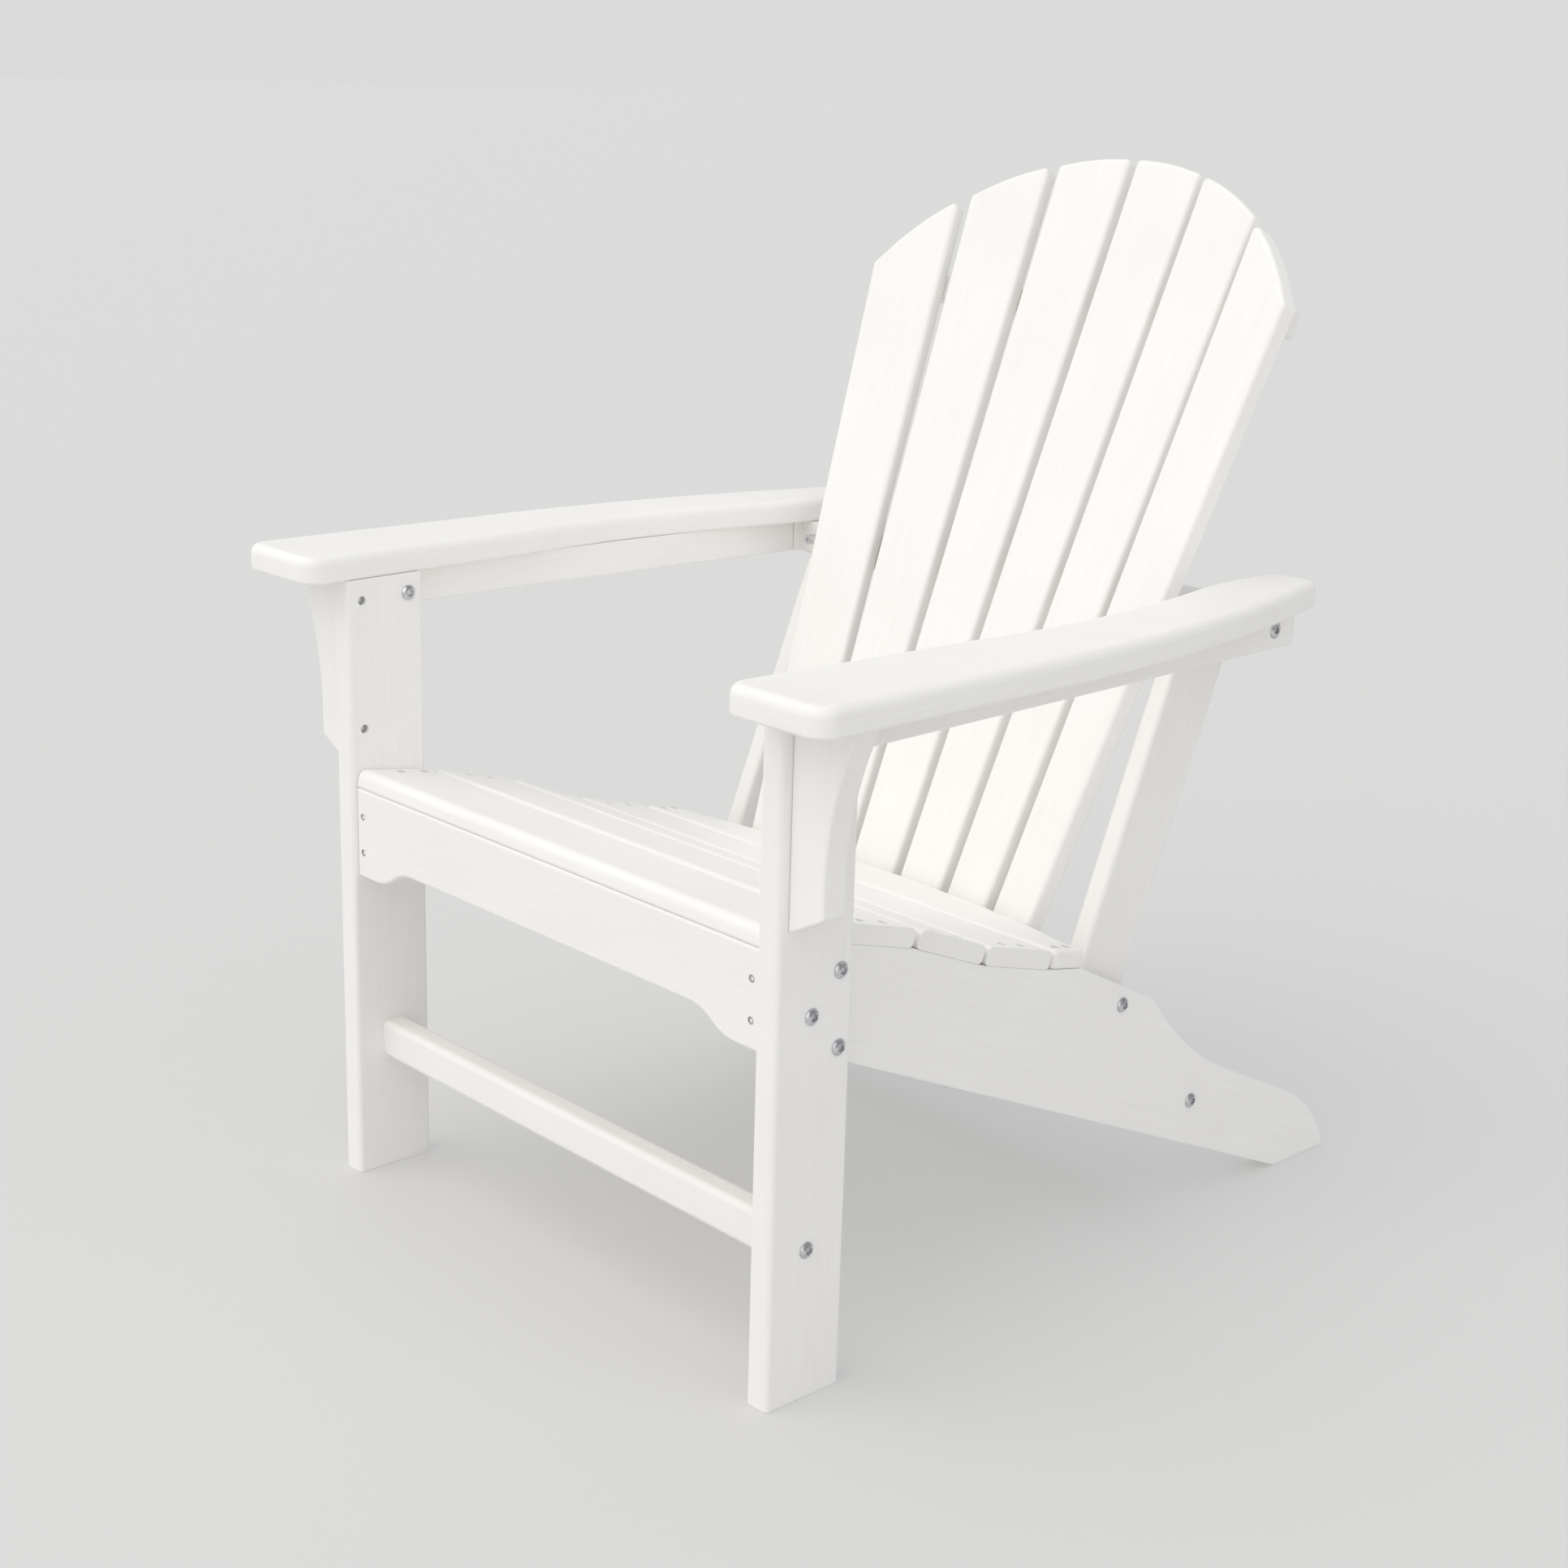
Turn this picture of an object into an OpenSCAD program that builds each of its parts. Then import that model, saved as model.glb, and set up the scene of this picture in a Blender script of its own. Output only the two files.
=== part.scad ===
// Adirondack chair with a tall fan back, flat arms and sled-shaped side rails.
// Millimetres. X runs across the chair, -Y is the front, Z is up.
// The origin is on the floor, at the middle of the chair's length and width.

/* [Overall] */
// Clear width between the two front legs
seat_w = 546; // [440:1:680]
// Height of the underside of the arms
arm_z = 570; // [470:1:690]
// Height of the crown of the back
crown_z = 942.5; // [840:1:1140]
// Distance from the front of the legs to the heels of the side rails
foot_y = 773.3; // [650:1:930]

/* [Boards] */
// Thickness of the structural boards
board_t = 24; // [18:0.5:29]
// Thickness of the seat and back slats
slat_t = 17; // [12:0.5:21]
// Depth of a front leg, front to back
leg_d = 80; // [62:1:96]
// Radius on the long edges of the legs
leg_r = 4; // [1:0.5:8]
// Radius on the long edges of the seat slats
slat_r = 3; // [1:0.5:6]

/* [Seat] */
// Width of a seat slat
seat_slat_w = 84; // [70:1:100]
// Gap between two seat slats
seat_gap = 5; // [3:0.5:8]
// Height of the underside of the first seat slat at the front of the apron
seat_z = 380.2; // [340:1:430]
// Set-back of the apron from the front of the legs
apron_set = 4.5; // [0:0.5:12]
// Height of the middle of the apron's lower edge
apron_low_z = 314; // [290:1:330]
// Drop of the apron's two ears below its middle
apron_ear = 18; // [8:1:26]

/* [Back] */
// Lean of the back from the vertical, in degrees
back_lean = 23.4; // [16:0.1:30]
// Spacing of the back slats at the seat
pitch_low = 63.3; // [56:0.1:66]
// Spacing of the back slats at the crown
pitch_high = 90; // [72:0.1:96]
// Gap between two back slats
back_gap = 9; // [5:0.5:13]
// Radius of the back's hollow at the seat
hollow_low_r = 1000; // [800:10:1400]
// Radius of the back's hollow at the crown
hollow_high_r = 731; // [600:1:1100]
// Radius of the rounded crown
crown_r = 311; // [270:1:400]

/* [Arms] */
// Overhang of the arms in front of the legs
arm_over = 41; // [20:1:60]
// Radius of the arms' front corners
arm_nose_r = 18; // [8:1:30]
// Radius of the arms' inner rear corners
arm_tail_r = 25; // [10:1:32]
// Height of the rails under the arms
arm_rail_h = 33; // [24:1:42]
// Outward reach of a corbel at its top
corbel_w = 69; // [50:1:76]

/* [Fasteners] */
// Diameter of the bolts' shanks
bolt_d = 8; // [6:0.5:10]
// Diameter of the bolts' button heads
bolt_head_d = 14; // [11:0.5:17]
// Diameter of the wood screws' shanks
screw_d = 4.5; // [3:0.25:5.5]
// Diameter of the wood screws' heads
screw_head_d = 8.4; // [6:0.2:10]

/* [Hidden] */
board_c = [0.93, 0.92, 0.89];
steel_c = [0.62, 0.63, 0.65];
hole_gap = 0.4;
round_n = 48;

// Leg faces, measured across the chair
leg_in = seat_w / 2;
leg_out = leg_in + board_t;
rail_in = leg_in - board_t;

// The frame's middle lies at y = 0
mid_y = (foot_y - arm_over) / 2;

// Seat line: the undersides of the slats, from front to back
seat_slope = [9.4, 15.7, 22.2, 15.7, 11.2];
nose_w = seat_slat_w - 4;
apron_back = apron_set + board_t;
facet = [nose_w + seat_gap / 2, for (i = [1:4]) seat_slat_w + seat_gap];
function seat_pt(i) = i == 0
    ? [apron_set, seat_z]
    : seat_pt(i - 1) + facet[i - 1] * [cos(seat_slope[i - 1]), -sin(seat_slope[i - 1])];
function seat_line(y, i) = seat_pt(i)[1] - (y - seat_pt(i)[0]) * tan(seat_slope[i]);
last_cut = seat_pt(4)[0] + 43;

// Back: a plane leaning from back_base, with the slats set on a hollow curve
back_base = [seat_pt(4)[0] + 88.3, seat_pt(4)[1] - 0.5];
cos_l = cos(back_lean);
tan_l = tan(back_lean);
slat_count = 6;
low_s = 0;
high_s = 685;
foot_s = -68;
crown_s = (crown_z - back_base[1]) / cos_l;
function back_y(z) = back_base[0] + (z - back_base[1]) * tan_l;
function low_x(k) = k * pitch_low;
function high_x(k) = k * pitch_high;
function low_off(k) = pow(low_x(k), 2) / (2 * hollow_low_r);
function high_off(k) = pow(high_x(k), 2) / (2 * hollow_high_r);
function fan(k) = atan((high_x(k) - low_x(k)) / (high_s - low_s));
function tip(k) = atan((high_off(k) - low_off(k)) / (high_s - low_s));
function twist(k) = (atan(low_x(k) / hollow_low_r) + atan(high_x(k) / hollow_high_r)) / 2;

// Stations of the three braces, measured up the slats
brace_z = arm_z - arm_rail_h;
lower_s = -32;
brace_s = (brace_z + arm_rail_h / 2 - back_base[1]) / cos_l;
upper_s = crown_s - 146.5;
upper_half = 2.73 * pitch_high;
hollow_mid_r = (hollow_low_r + hollow_high_r) / 2;
lower_d = board_t + 10;
mid_grip = 30;

// Posts: straight boards inside the rails, up to the middle brace
post_t = 20;
post_gap = 8;
post_out = rail_in - post_gap;
post_in = post_out - post_t;
post_w = 74;
post_run = 0.40;
brace_back = back_y(brace_z) + 74;
post_top_y = brace_back - 82.5;
post_bolt_z = 229;
post_foot_z = post_bolt_z - 44;
function post_y(z) = post_top_y + (z - brace_z) * post_run;
post_bolt = [post_y(post_bolt_z) + post_w / 2 - 2.5, post_bolt_z];

// Side rails: belly line, shoulder, hollow curve and heel
rail_front_z = 295.8;
rail_toe_y = foot_y - 81.5;
shoulder = [last_cut + 103.5, post_bolt_z - 6.2];
hollow_r = 316.2;
hollow_a = 36.2;
hollow_c = shoulder + hollow_r * [cos(hollow_a), sin(hollow_a)];
heel_r = 147;
heel_z = -56;
heel_c = [foot_y - sqrt(pow(heel_r, 2) - pow(heel_z, 2)), heel_z];
link = heel_c - hollow_c;
link_a = atan2(link[1], link[0]) - acos((hollow_r + heel_r) / norm(link));
link_n = [cos(link_a), sin(link_a)];
hollow_end = hollow_c + hollow_r * link_n;
heel_start = heel_c - heel_r * link_n;
function belly(y) = rail_front_z * (rail_toe_y - y) / (rail_toe_y - apron_back);

// Stretchers
front_str = [apron_back, 112];
str_h = 36;
str_r = 6;
rear_str_y = shoulder[0] + 63;
rear_str = [rear_str_y - board_t / 2, 90];
str_bolt = [front_str[0] + board_t / 2 - 2, front_str[1] + str_h / 2];
rear_bolt = [rear_str_y, rear_str[1] + str_h / 2];

// Arms, arm rails and corbels
arm_back = brace_back + 21;
arm_rail_back = brace_back;
arm_turn = 0.037;
corbel_set = 9;
corbel_back = corbel_set + board_t;
corbel_neck = 37;
corbel_h = 172;
corbel_flare = 130;
function arm_rail_x(y) = leg_out - arm_turn * (y - leg_d);

// Bolt places on a leg's side, and screw places
leg_bolts = [
    [leg_d - 14, rail_front_z + 60.7],
    [apron_back + 8.1, rail_front_z + 29.6],
    [leg_d - 14, rail_front_z - 2.5]
];
arm_bolt = [leg_d - 15.7, arm_z - arm_rail_h / 2 - 1];
brace_bolt_set = 31.6;
brace_bolt_y = brace_back - brace_bolt_set;
brace_bolt_z = arm_z - arm_rail_h / 2 + 1;
corbel_screw_z = [arm_z - 19, arm_z - 137];
corbel_screw_y = corbel_set + 6;
apron_screw_z = [354, 320];
screw_pair = 13;

// ---------- shared shapes ----------

// Moves a sub-part from the legs' front face to the chair's own origin
module placed() {
    translate([0, -mid_y, 0])
        children();
}

module mirrored() {
    mirror([1, 0, 0])
        children();
}

// Rectangle with four equal round corners, its corner on the origin
module round_rect(w, h, r) {
    translate([r, 0])
        square([w - 2 * r, h]);
    translate([0, r])
        square([w, h - 2 * r]);
    for (x = [r, w - r])
        for (y = [r, h - r])
            translate([x, y])
                circle(r, $fn = round_n);
}

// A board whose outline is drawn in Y and Z, standing at x and t thick
module side_plate(x, t) {
    translate([x, 0, 0])
        rotate([90, 0, 90])
            linear_extrude(t)
                children();
}

// A board whose outline is drawn in X and Z, with its front face at y
module front_plate(y, t) {
    translate([0, y + t, 0])
        rotate([90, 0, 0])
            linear_extrude(t)
                children();
}

// A bore or shank that runs along X from x to x + l, at a [y, z] place
module x_rod(place, x, l, d) {
    translate([x, place[0], place[1]])
        rotate([0, 90, 0])
            cylinder(d = d, h = l, $fn = round_n);
}

// Button head on the origin with its dome up, shank l long below it
module bolt(l) {
    dome_h = bolt_head_d * 0.31;
    dome_r = (pow(bolt_head_d / 2, 2) + pow(dome_h, 2)) / (2 * dome_h);
    difference() {
        intersection() {
            translate([0, 0, dome_h - dome_r])
                sphere(dome_r, $fn = round_n);
            cylinder(d = bolt_head_d + 1, h = dome_h + 1, $fn = round_n);
        }
        translate([0, 0, dome_h - 2.6])
            cylinder(d = bolt_head_d * 0.4, h = 4, $fn = 6);
    }
    translate([0, 0, -l])
        cylinder(d = bolt_d, h = l + 0.5, $fn = round_n);
}

// Countersunk wood screw, its flat head flush with the origin, l long
module screw(l) {
    head_h = (screw_head_d - screw_d) / 2;
    difference() {
        translate([0, 0, -head_h])
            cylinder(d1 = screw_d, d2 = screw_head_d, h = head_h, $fn = round_n);
        translate([0, 0, -1.2])
            cylinder(d = screw_head_d * 0.45, h = 2, $fn = 6);
    }
    translate([0, 0, -l])
        cylinder(d = screw_d, h = l - head_h / 2, $fn = round_n);
}

// The clearance a screw needs, with its recess in the surface
module screw_hole(l) {
    head_h = (screw_head_d - screw_d) / 2;
    translate([0, 0, -head_h])
        cylinder(d1 = screw_d + hole_gap, d2 = screw_head_d + hole_gap, h = head_h, $fn = round_n);
    cylinder(d = screw_head_d + hole_gap, h = 5, $fn = round_n);
    translate([0, 0, -l - 1])
        cylinder(d = screw_d + hole_gap, h = l + 1, $fn = round_n);
}

// ---------- places of the fasteners ----------

// Each leg bolt, seen with its head outside the left leg
module at_leg_bolts() {
    for (b = leg_bolts)
        translate([leg_out, b[0], b[1]])
            rotate([0, 90, 0])
                children();
}

module at_stretcher_bolt() {
    translate([leg_out, str_bolt[0], str_bolt[1]])
        rotate([0, 90, 0])
            children();
}

module at_rear_bolt() {
    translate([leg_in, rear_bolt[0], rear_bolt[1]])
        rotate([0, 90, 0])
            children();
}

module at_post_bolt() {
    translate([leg_in, post_bolt[0], post_bolt[1]])
        rotate([0, 90, 0])
            children();
}

// Head inside the left leg, shank outwards into the arm rail
module at_arm_bolt() {
    translate([leg_in, arm_bolt[0], arm_bolt[1]])
        rotate([0, -90, 0])
            children();
}

// Head outside the left arm rail, shank inwards into the middle brace
module at_brace_bolt() {
    translate([arm_rail_x(brace_bolt_y) + board_t, brace_bolt_y, brace_bolt_z])
        rotate([0, 90, 0])
            children();
}

module at_corbel_screws() {
    for (z = corbel_screw_z)
        translate([leg_in, corbel_screw_y, z])
            rotate([0, -90, 0])
                children();
}

module at_apron_screws() {
    for (s = [-1, 1])
        for (z = apron_screw_z)
            translate([s * (leg_in - 9.5), apron_set, z])
                rotate([90, 0, 0])
                    children();
}

// Two screws at each end of seat slat i, square to the slat's face
module at_seat_screws(i) {
    first = i == 0 ? (apron_back + 15 - apron_set) : (facet[i] / 2 - screw_pair);
    pair = i == 4 ? [16, 30] : [first, first + 2 * screw_pair];
    for (s = [-1, 1])
        for (d = pair)
            translate([0, seat_pt(i)[0], seat_pt(i)[1]])
                rotate([-seat_slope[i], 0, 0])
                    translate([s * (leg_in - board_t / 2), d, slat_t])
                        children();
}

// The place of back slat k, whose front face is then the local plane y = 0
module at_back(k) {
    translate([0, back_base[0], back_base[1]])
        rotate([-back_lean, 0, 0])
            translate([low_x(k), -low_off(k), 0])
                rotate([0, fan(k), 0])
                    rotate([tip(k), 0, 0])
                        rotate([0, 0, -twist(k)])
                            children();
}

// Screws from behind, through a brace that crosses the back at station s
module at_back_screws(s, depth) {
    for (i = [0:slat_count - 1])
        at_back(i - (slat_count - 1) / 2)
            for (d = [-12, 12])
                translate([d, slat_t + depth, s])
                    rotate([-90, 0, 0])
                        children();
}

// Level screws through the middle brace, their heads sunk deep in its rear face
module at_mid_screws() {
    for (i = [0:slat_count - 1]) {
        k = i - (slat_count - 1) / 2;
        x = low_x(k) + (high_x(k) - low_x(k)) * brace_s / high_s;
        z = brace_z + arm_rail_h / 2;
        y = back_y(z) + slat_t / cos_l - pow(x, 2) / (2 * hollow_mid_r);
        for (d = [-12, 12])
            translate([x + d, y + mid_grip, z])
                rotate([-90, 0, 0])
                    children();
    }
}

// ---------- front frame ----------

module leg() {
    difference() {
        translate([leg_in, 0, 0])
            linear_extrude(arm_z)
                round_rect(board_t, leg_d, leg_r);
        for (b = concat(leg_bolts, [str_bolt, arm_bolt]))
            x_rod(b, leg_in - 1, board_t + 2, bolt_d + hole_gap);
        at_corbel_screws()
            screw_hole(42);
    }
}

module leg_left() {
    color(board_c)
        placed()
            leg();
}

module leg_right() {
    color(board_c)
        placed()
            mirrored()
                leg();
}

// One half of the apron's lower edge: the ear runs into the middle in two equal arcs
module apron_ear_outline() {
    ear_end = leg_in - 28;
    run = 27.5;
    s_r = (pow(run, 2) + pow(apron_ear / 2, 2)) / apron_ear;
    low = apron_low_z - apron_ear;
    translate([ear_end, low])
        square([leg_in - ear_end, apron_ear]);
    intersection() {
        translate([ear_end, low + s_r])
            circle(s_r, $fn = 96);
        translate([ear_end - run, low])
            square([run, apron_ear]);
    }
    difference() {
        translate([ear_end - 2 * run, low + apron_ear / 2])
            square([run, apron_ear / 2]);
        translate([ear_end - 2 * run, apron_low_z - s_r])
            circle(s_r, $fn = 96);
    }
}

module apron() {
    color(board_c)
        placed()
            difference() {
                front_plate(apron_set, board_t) {
                    translate([-leg_in, apron_low_z])
                        square([seat_w, seat_z - apron_low_z]);
                    apron_ear_outline();
                    mirrored()
                        apron_ear_outline();
                }
                translate([-leg_in - 1, apron_set, seat_z])
                    rotate([-seat_slope[0], 0, 0])
                        translate([0, -5, 0])
                            cube([seat_w + 2, board_t + 12, 20]);
                at_apron_screws()
                    screw_hole(board_t + 2);
            }
}

module front_stretcher() {
    color(board_c)
        placed()
            difference() {
                side_plate(-leg_in, seat_w)
                    translate(front_str)
                        round_rect(board_t, str_h, str_r);
                for (x = [-leg_in - 1, leg_in - 56])
                    x_rod(str_bolt, x, 57, bolt_d + hole_gap);
            }
}

module rear_stretcher() {
    color(board_c)
        placed()
            difference() {
                side_plate(-rail_in, 2 * rail_in)
                    translate(rear_str)
                        round_rect(board_t, str_h, str_r);
                for (x = [-rail_in - 1, rail_in - 56])
                    x_rod(rear_bolt, x, 57, bolt_d + hole_gap);
            }
}

// ---------- side rails ----------

module rail_outline() {
    difference() {
        polygon([
            [apron_back, belly(apron_back)],
            [rail_toe_y, 0],
            [foot_y, 0],
            heel_start,
            hollow_end,
            shoulder,
            [last_cut, seat_line(last_cut, 4)],
            seat_pt(4),
            seat_pt(3),
            seat_pt(2),
            seat_pt(1),
            [apron_back, seat_line(apron_back, 0)]
        ]);
        translate(hollow_c)
            circle(hollow_r, $fn = 180);
    }
    intersection() {
        translate(heel_c)
            circle(heel_r, $fn = 180);
        polygon([
            heel_start,
            [foot_y + 20, heel_start[1]],
            [foot_y + 20, 0],
            [rail_toe_y, 0]
        ]);
    }
}

module side_rail() {
    difference() {
        side_plate(rail_in, board_t)
            rail_outline();
        for (b = concat(leg_bolts, [post_bolt, rear_bolt]))
            x_rod(b, rail_in - 1, board_t + 2, bolt_d + hole_gap);
        for (i = [0:4])
            at_seat_screws(i)
                screw_hole(34);
        at_apron_screws()
            screw_hole(50);
    }
}

module side_rail_left() {
    color(board_c)
        placed()
            side_rail();
}

module side_rail_right() {
    color(board_c)
        placed()
            mirrored()
                side_rail();
}

// ---------- seat ----------

// A seat slat on its facet of the rails, with its section drawn in Y and Z
module on_facet(i) {
    translate([0, seat_pt(i)[0], seat_pt(i)[1]])
        rotate([-seat_slope[i], 0, 0])
            children();
}

module seat_slat(i) {
    difference() {
        on_facet(i)
            side_plate(-leg_in, seat_w)
                translate([seat_gap / 2, 0])
                    round_rect(seat_slat_w, slat_t, slat_r);
        at_seat_screws(i)
            screw_hole(34);
    }
}

// The first slat has a fully rounded upper front edge and lies between the legs
module seat_slat_1() {
    nose_r = slat_t / 2 - 0.5;
    color(board_c)
        placed()
            difference() {
                on_facet(0)
                    side_plate(0.5 - leg_in, seat_w - 1) {
                        translate([nose_r, 0])
                            square([nose_w - nose_r - slat_r, slat_t]);
                        square([nose_r, slat_t - nose_r]);
                        translate([nose_r, slat_t - nose_r])
                            circle(nose_r, $fn = round_n);
                        translate([nose_w - 3 * slat_r, 0])
                            round_rect(3 * slat_r, slat_t, slat_r);
                    }
                at_seat_screws(0)
                    screw_hole(34);
            }
}

module seat_slat_2() {
    color(board_c)
        placed()
            seat_slat(1);
}

module seat_slat_3() {
    color(board_c)
        placed()
            seat_slat(2);
}

module seat_slat_4() {
    color(board_c)
        placed()
            seat_slat(3);
}

// The last slat follows the back's hollow and is cut short at both ends for the posts
module seat_slat_5() {
    ear = last_cut - seat_pt(4)[0];
    reach = 79;
    tongue = rail_in - 54;
    tongue_y = reach - hollow_low_r + sqrt(pow(hollow_low_r, 2) - pow(tongue, 2));
    over_y = reach + 5;
    over_x = rail_in - (rail_in - tongue) * (over_y - ear) / (tongue_y - ear);
    color(board_c)
        placed()
            difference() {
                on_facet(4)
                    linear_extrude(slat_t)
                        difference() {
                            polygon([
                                [-leg_in, seat_gap / 2],
                                [-leg_in, ear],
                                [-rail_in, ear],
                                [-over_x, over_y],
                                [over_x, over_y],
                                [rail_in, ear],
                                [leg_in, ear],
                                [leg_in, seat_gap / 2]
                            ]);
                            difference() {
                                translate([-rail_in, ear + 1])
                                    square([2 * rail_in, reach]);
                                translate([0, reach - hollow_low_r])
                                    circle(hollow_low_r, $fn = 360);
                            }
                        }
                at_seat_screws(4)
                    screw_hole(34);
            }
}

// ---------- posts and braces ----------

module post() {
    difference() {
        side_plate(post_in, post_t)
            polygon([
                [post_y(post_foot_z), post_foot_z],
                [post_y(post_foot_z) + post_w, post_foot_z],
                [post_y(brace_z) + post_w, brace_z],
                [post_y(brace_z), brace_z]
            ]);
        x_rod(post_bolt, post_in - 1, post_t + 2, bolt_d + hole_gap);
        back_planes();
    }
}

module post_left() {
    color(board_c)
        placed()
            post();
}

module post_right() {
    color(board_c)
        placed()
            mirrored()
                post();
}

// Plain sleeves that hold the posts off the rails
module post_spacers() {
    sleeve_d = 24;
    color(steel_c)
        placed()
            for (s = [0, 1])
                mirror([s, 0, 0])
                    difference() {
                        x_rod(post_bolt, post_out, post_gap, sleeve_d);
                        x_rod(post_bolt, post_out - 1, post_gap + 2, bolt_d + hole_gap);
                    }
}

// Everything in front of the rear faces of the back slats
module back_planes() {
    for (i = [0:slat_count - 1])
        at_back(i - (slat_count - 1) / 2)
            translate([-50, slat_t - 120, foot_s - 60])
                cube([100, 120, crown_s + 200]);
}

module mid_brace() {
    color(board_c)
        placed()
            difference() {
                translate([0, 0, brace_z])
                    linear_extrude(arm_rail_h)
                        polygon([
                            [-arm_rail_x(brace_back), brace_back],
                            [arm_rail_x(brace_back), brace_back],
                            [arm_rail_x(brace_back - 75), brace_back - 75],
                            [arm_rail_x(brace_back - 57) - 4, brace_back - 57],
                            [post_in - 2, brace_back - 69],
                            [post_in - 10, brace_back - 84],
                            [post_in - 90, brace_back - 84],
                            [0, brace_back - 58],
                            [90 - post_in, brace_back - 84],
                            [10 - post_in, brace_back - 84],
                            [2 - post_in, brace_back - 69],
                            [4 - arm_rail_x(brace_back - 57), brace_back - 57],
                            [-arm_rail_x(brace_back - 75), brace_back - 75]
                        ]);
                back_planes();
                for (s = [0, 1])
                    mirror([s, 0, 0]) {
                        at_brace_bolt()
                            translate([0, 0, -70])
                                cylinder(d = bolt_d + hole_gap, h = 70, $fn = round_n);
                        at_barrel()
                            cylinder(d = 10 + hole_gap, h = 60, $fn = round_n);
                    }
                at_mid_screws() {
                    screw_hole(mid_grip + 12);
                    cylinder(d = screw_head_d + hole_gap, h = 60, $fn = round_n);
                }
            }
}

// Cross-drilled nut in the middle brace's front edge
module at_barrel() {
    translate([leg_in - 24, brace_back - 76, brace_bolt_z])
        rotate([-90, 0, 0])
            children();
}

// A curved brace that lies square to the back, its middle at station s along the slats
module back_brace(s, half, h, depth, hollow_r) {
    translate([0, back_base[0], back_base[1]])
        rotate([-back_lean, 0, 0])
            translate([0, 0, s - h / 2])
                linear_extrude(h)
                    intersection() {
                        translate([-half, slat_t + depth - 110])
                            square([2 * half, 120]);
                        difference() {
                            translate([0, slat_t - hollow_r])
                                circle(hollow_r + depth, $fn = 360);
                            translate([0, slat_t - hollow_r])
                                circle(hollow_r - 10, $fn = 360);
                        }
                    }
}

module upper_brace() {
    color(board_c)
        placed()
            difference() {
                back_brace(upper_s, upper_half, board_t, board_t, hollow_high_r);
                back_planes();
                at_back_screws(upper_s, board_t)
                    screw_hole(board_t + 12);
            }
}

module lower_brace() {
    color(board_c)
        placed()
            difference() {
                back_brace(lower_s, post_in, 36, lower_d, hollow_low_r);
                back_planes();
                at_back_screws(lower_s, lower_d)
                    screw_hole(lower_d + 12);
            }
}

// ---------- back slats ----------

module back_slat_body(k) {
    low_w = pitch_low / cos(twist(k)) - back_gap;
    high_w = pitch_high / cos(twist(k)) - back_gap;
    grow = (high_w - low_w) / (high_s - low_s);
    function half(s) = (low_w + grow * s) / 2;
    rise = crown_s - crown_r;
    c = [
        (-low_x(k) * cos(fan(k)) - rise * sin(fan(k))) / cos(twist(k)),
        -low_x(k) * sin(fan(k)) + rise * cos(fan(k))
    ];
    at_back(k)
        translate([0, slat_t, 0])
            rotate([90, 0, 0])
                linear_extrude(slat_t)
                    intersection() {
                        polygon([
                            [-half(foot_s), foot_s],
                            [half(foot_s), foot_s],
                            [half(crown_s), crown_s],
                            [-half(crown_s), crown_s]
                        ]);
                        union() {
                            translate(c)
                                circle(crown_r, $fn = 180);
                            translate([-100, foot_s - 1])
                                square([200, c[1] - foot_s + 1]);
                        }
                    }
}

module back_slat(n) {
    k = n - (slat_count + 1) / 2;
    color(board_c)
        placed()
            difference() {
                back_slat_body(k);
                at_back_screws(lower_s, lower_d)
                    screw_hole(lower_d + 12);
                at_mid_screws()
                    screw_hole(mid_grip + 12);
                at_back_screws(upper_s, board_t)
                    screw_hole(board_t + 12);
            }
}

module back_slat_1() {
    back_slat(1);
}

module back_slat_2() {
    back_slat(2);
}

module back_slat_3() {
    back_slat(3);
}

module back_slat_4() {
    back_slat(4);
}

module back_slat_5() {
    back_slat(5);
}

module back_slat_6() {
    back_slat(6);
}

// ---------- arms ----------

// Circle through three points, as [centre, radius]
function circle_of(a, b, c) =
    let (
        d = 2 * (a[0] * (b[1] - c[1]) + b[0] * (c[1] - a[1]) + c[0] * (a[1] - b[1])),
        x = (a * a * (b[1] - c[1]) + b * b * (c[1] - a[1]) + c * c * (a[1] - b[1])) / d,
        y = (a * a * (c[0] - b[0]) + b * b * (a[0] - c[0]) + c * c * (b[0] - a[0])) / d
    ) [[x, y], norm(a - [x, y])];

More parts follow.
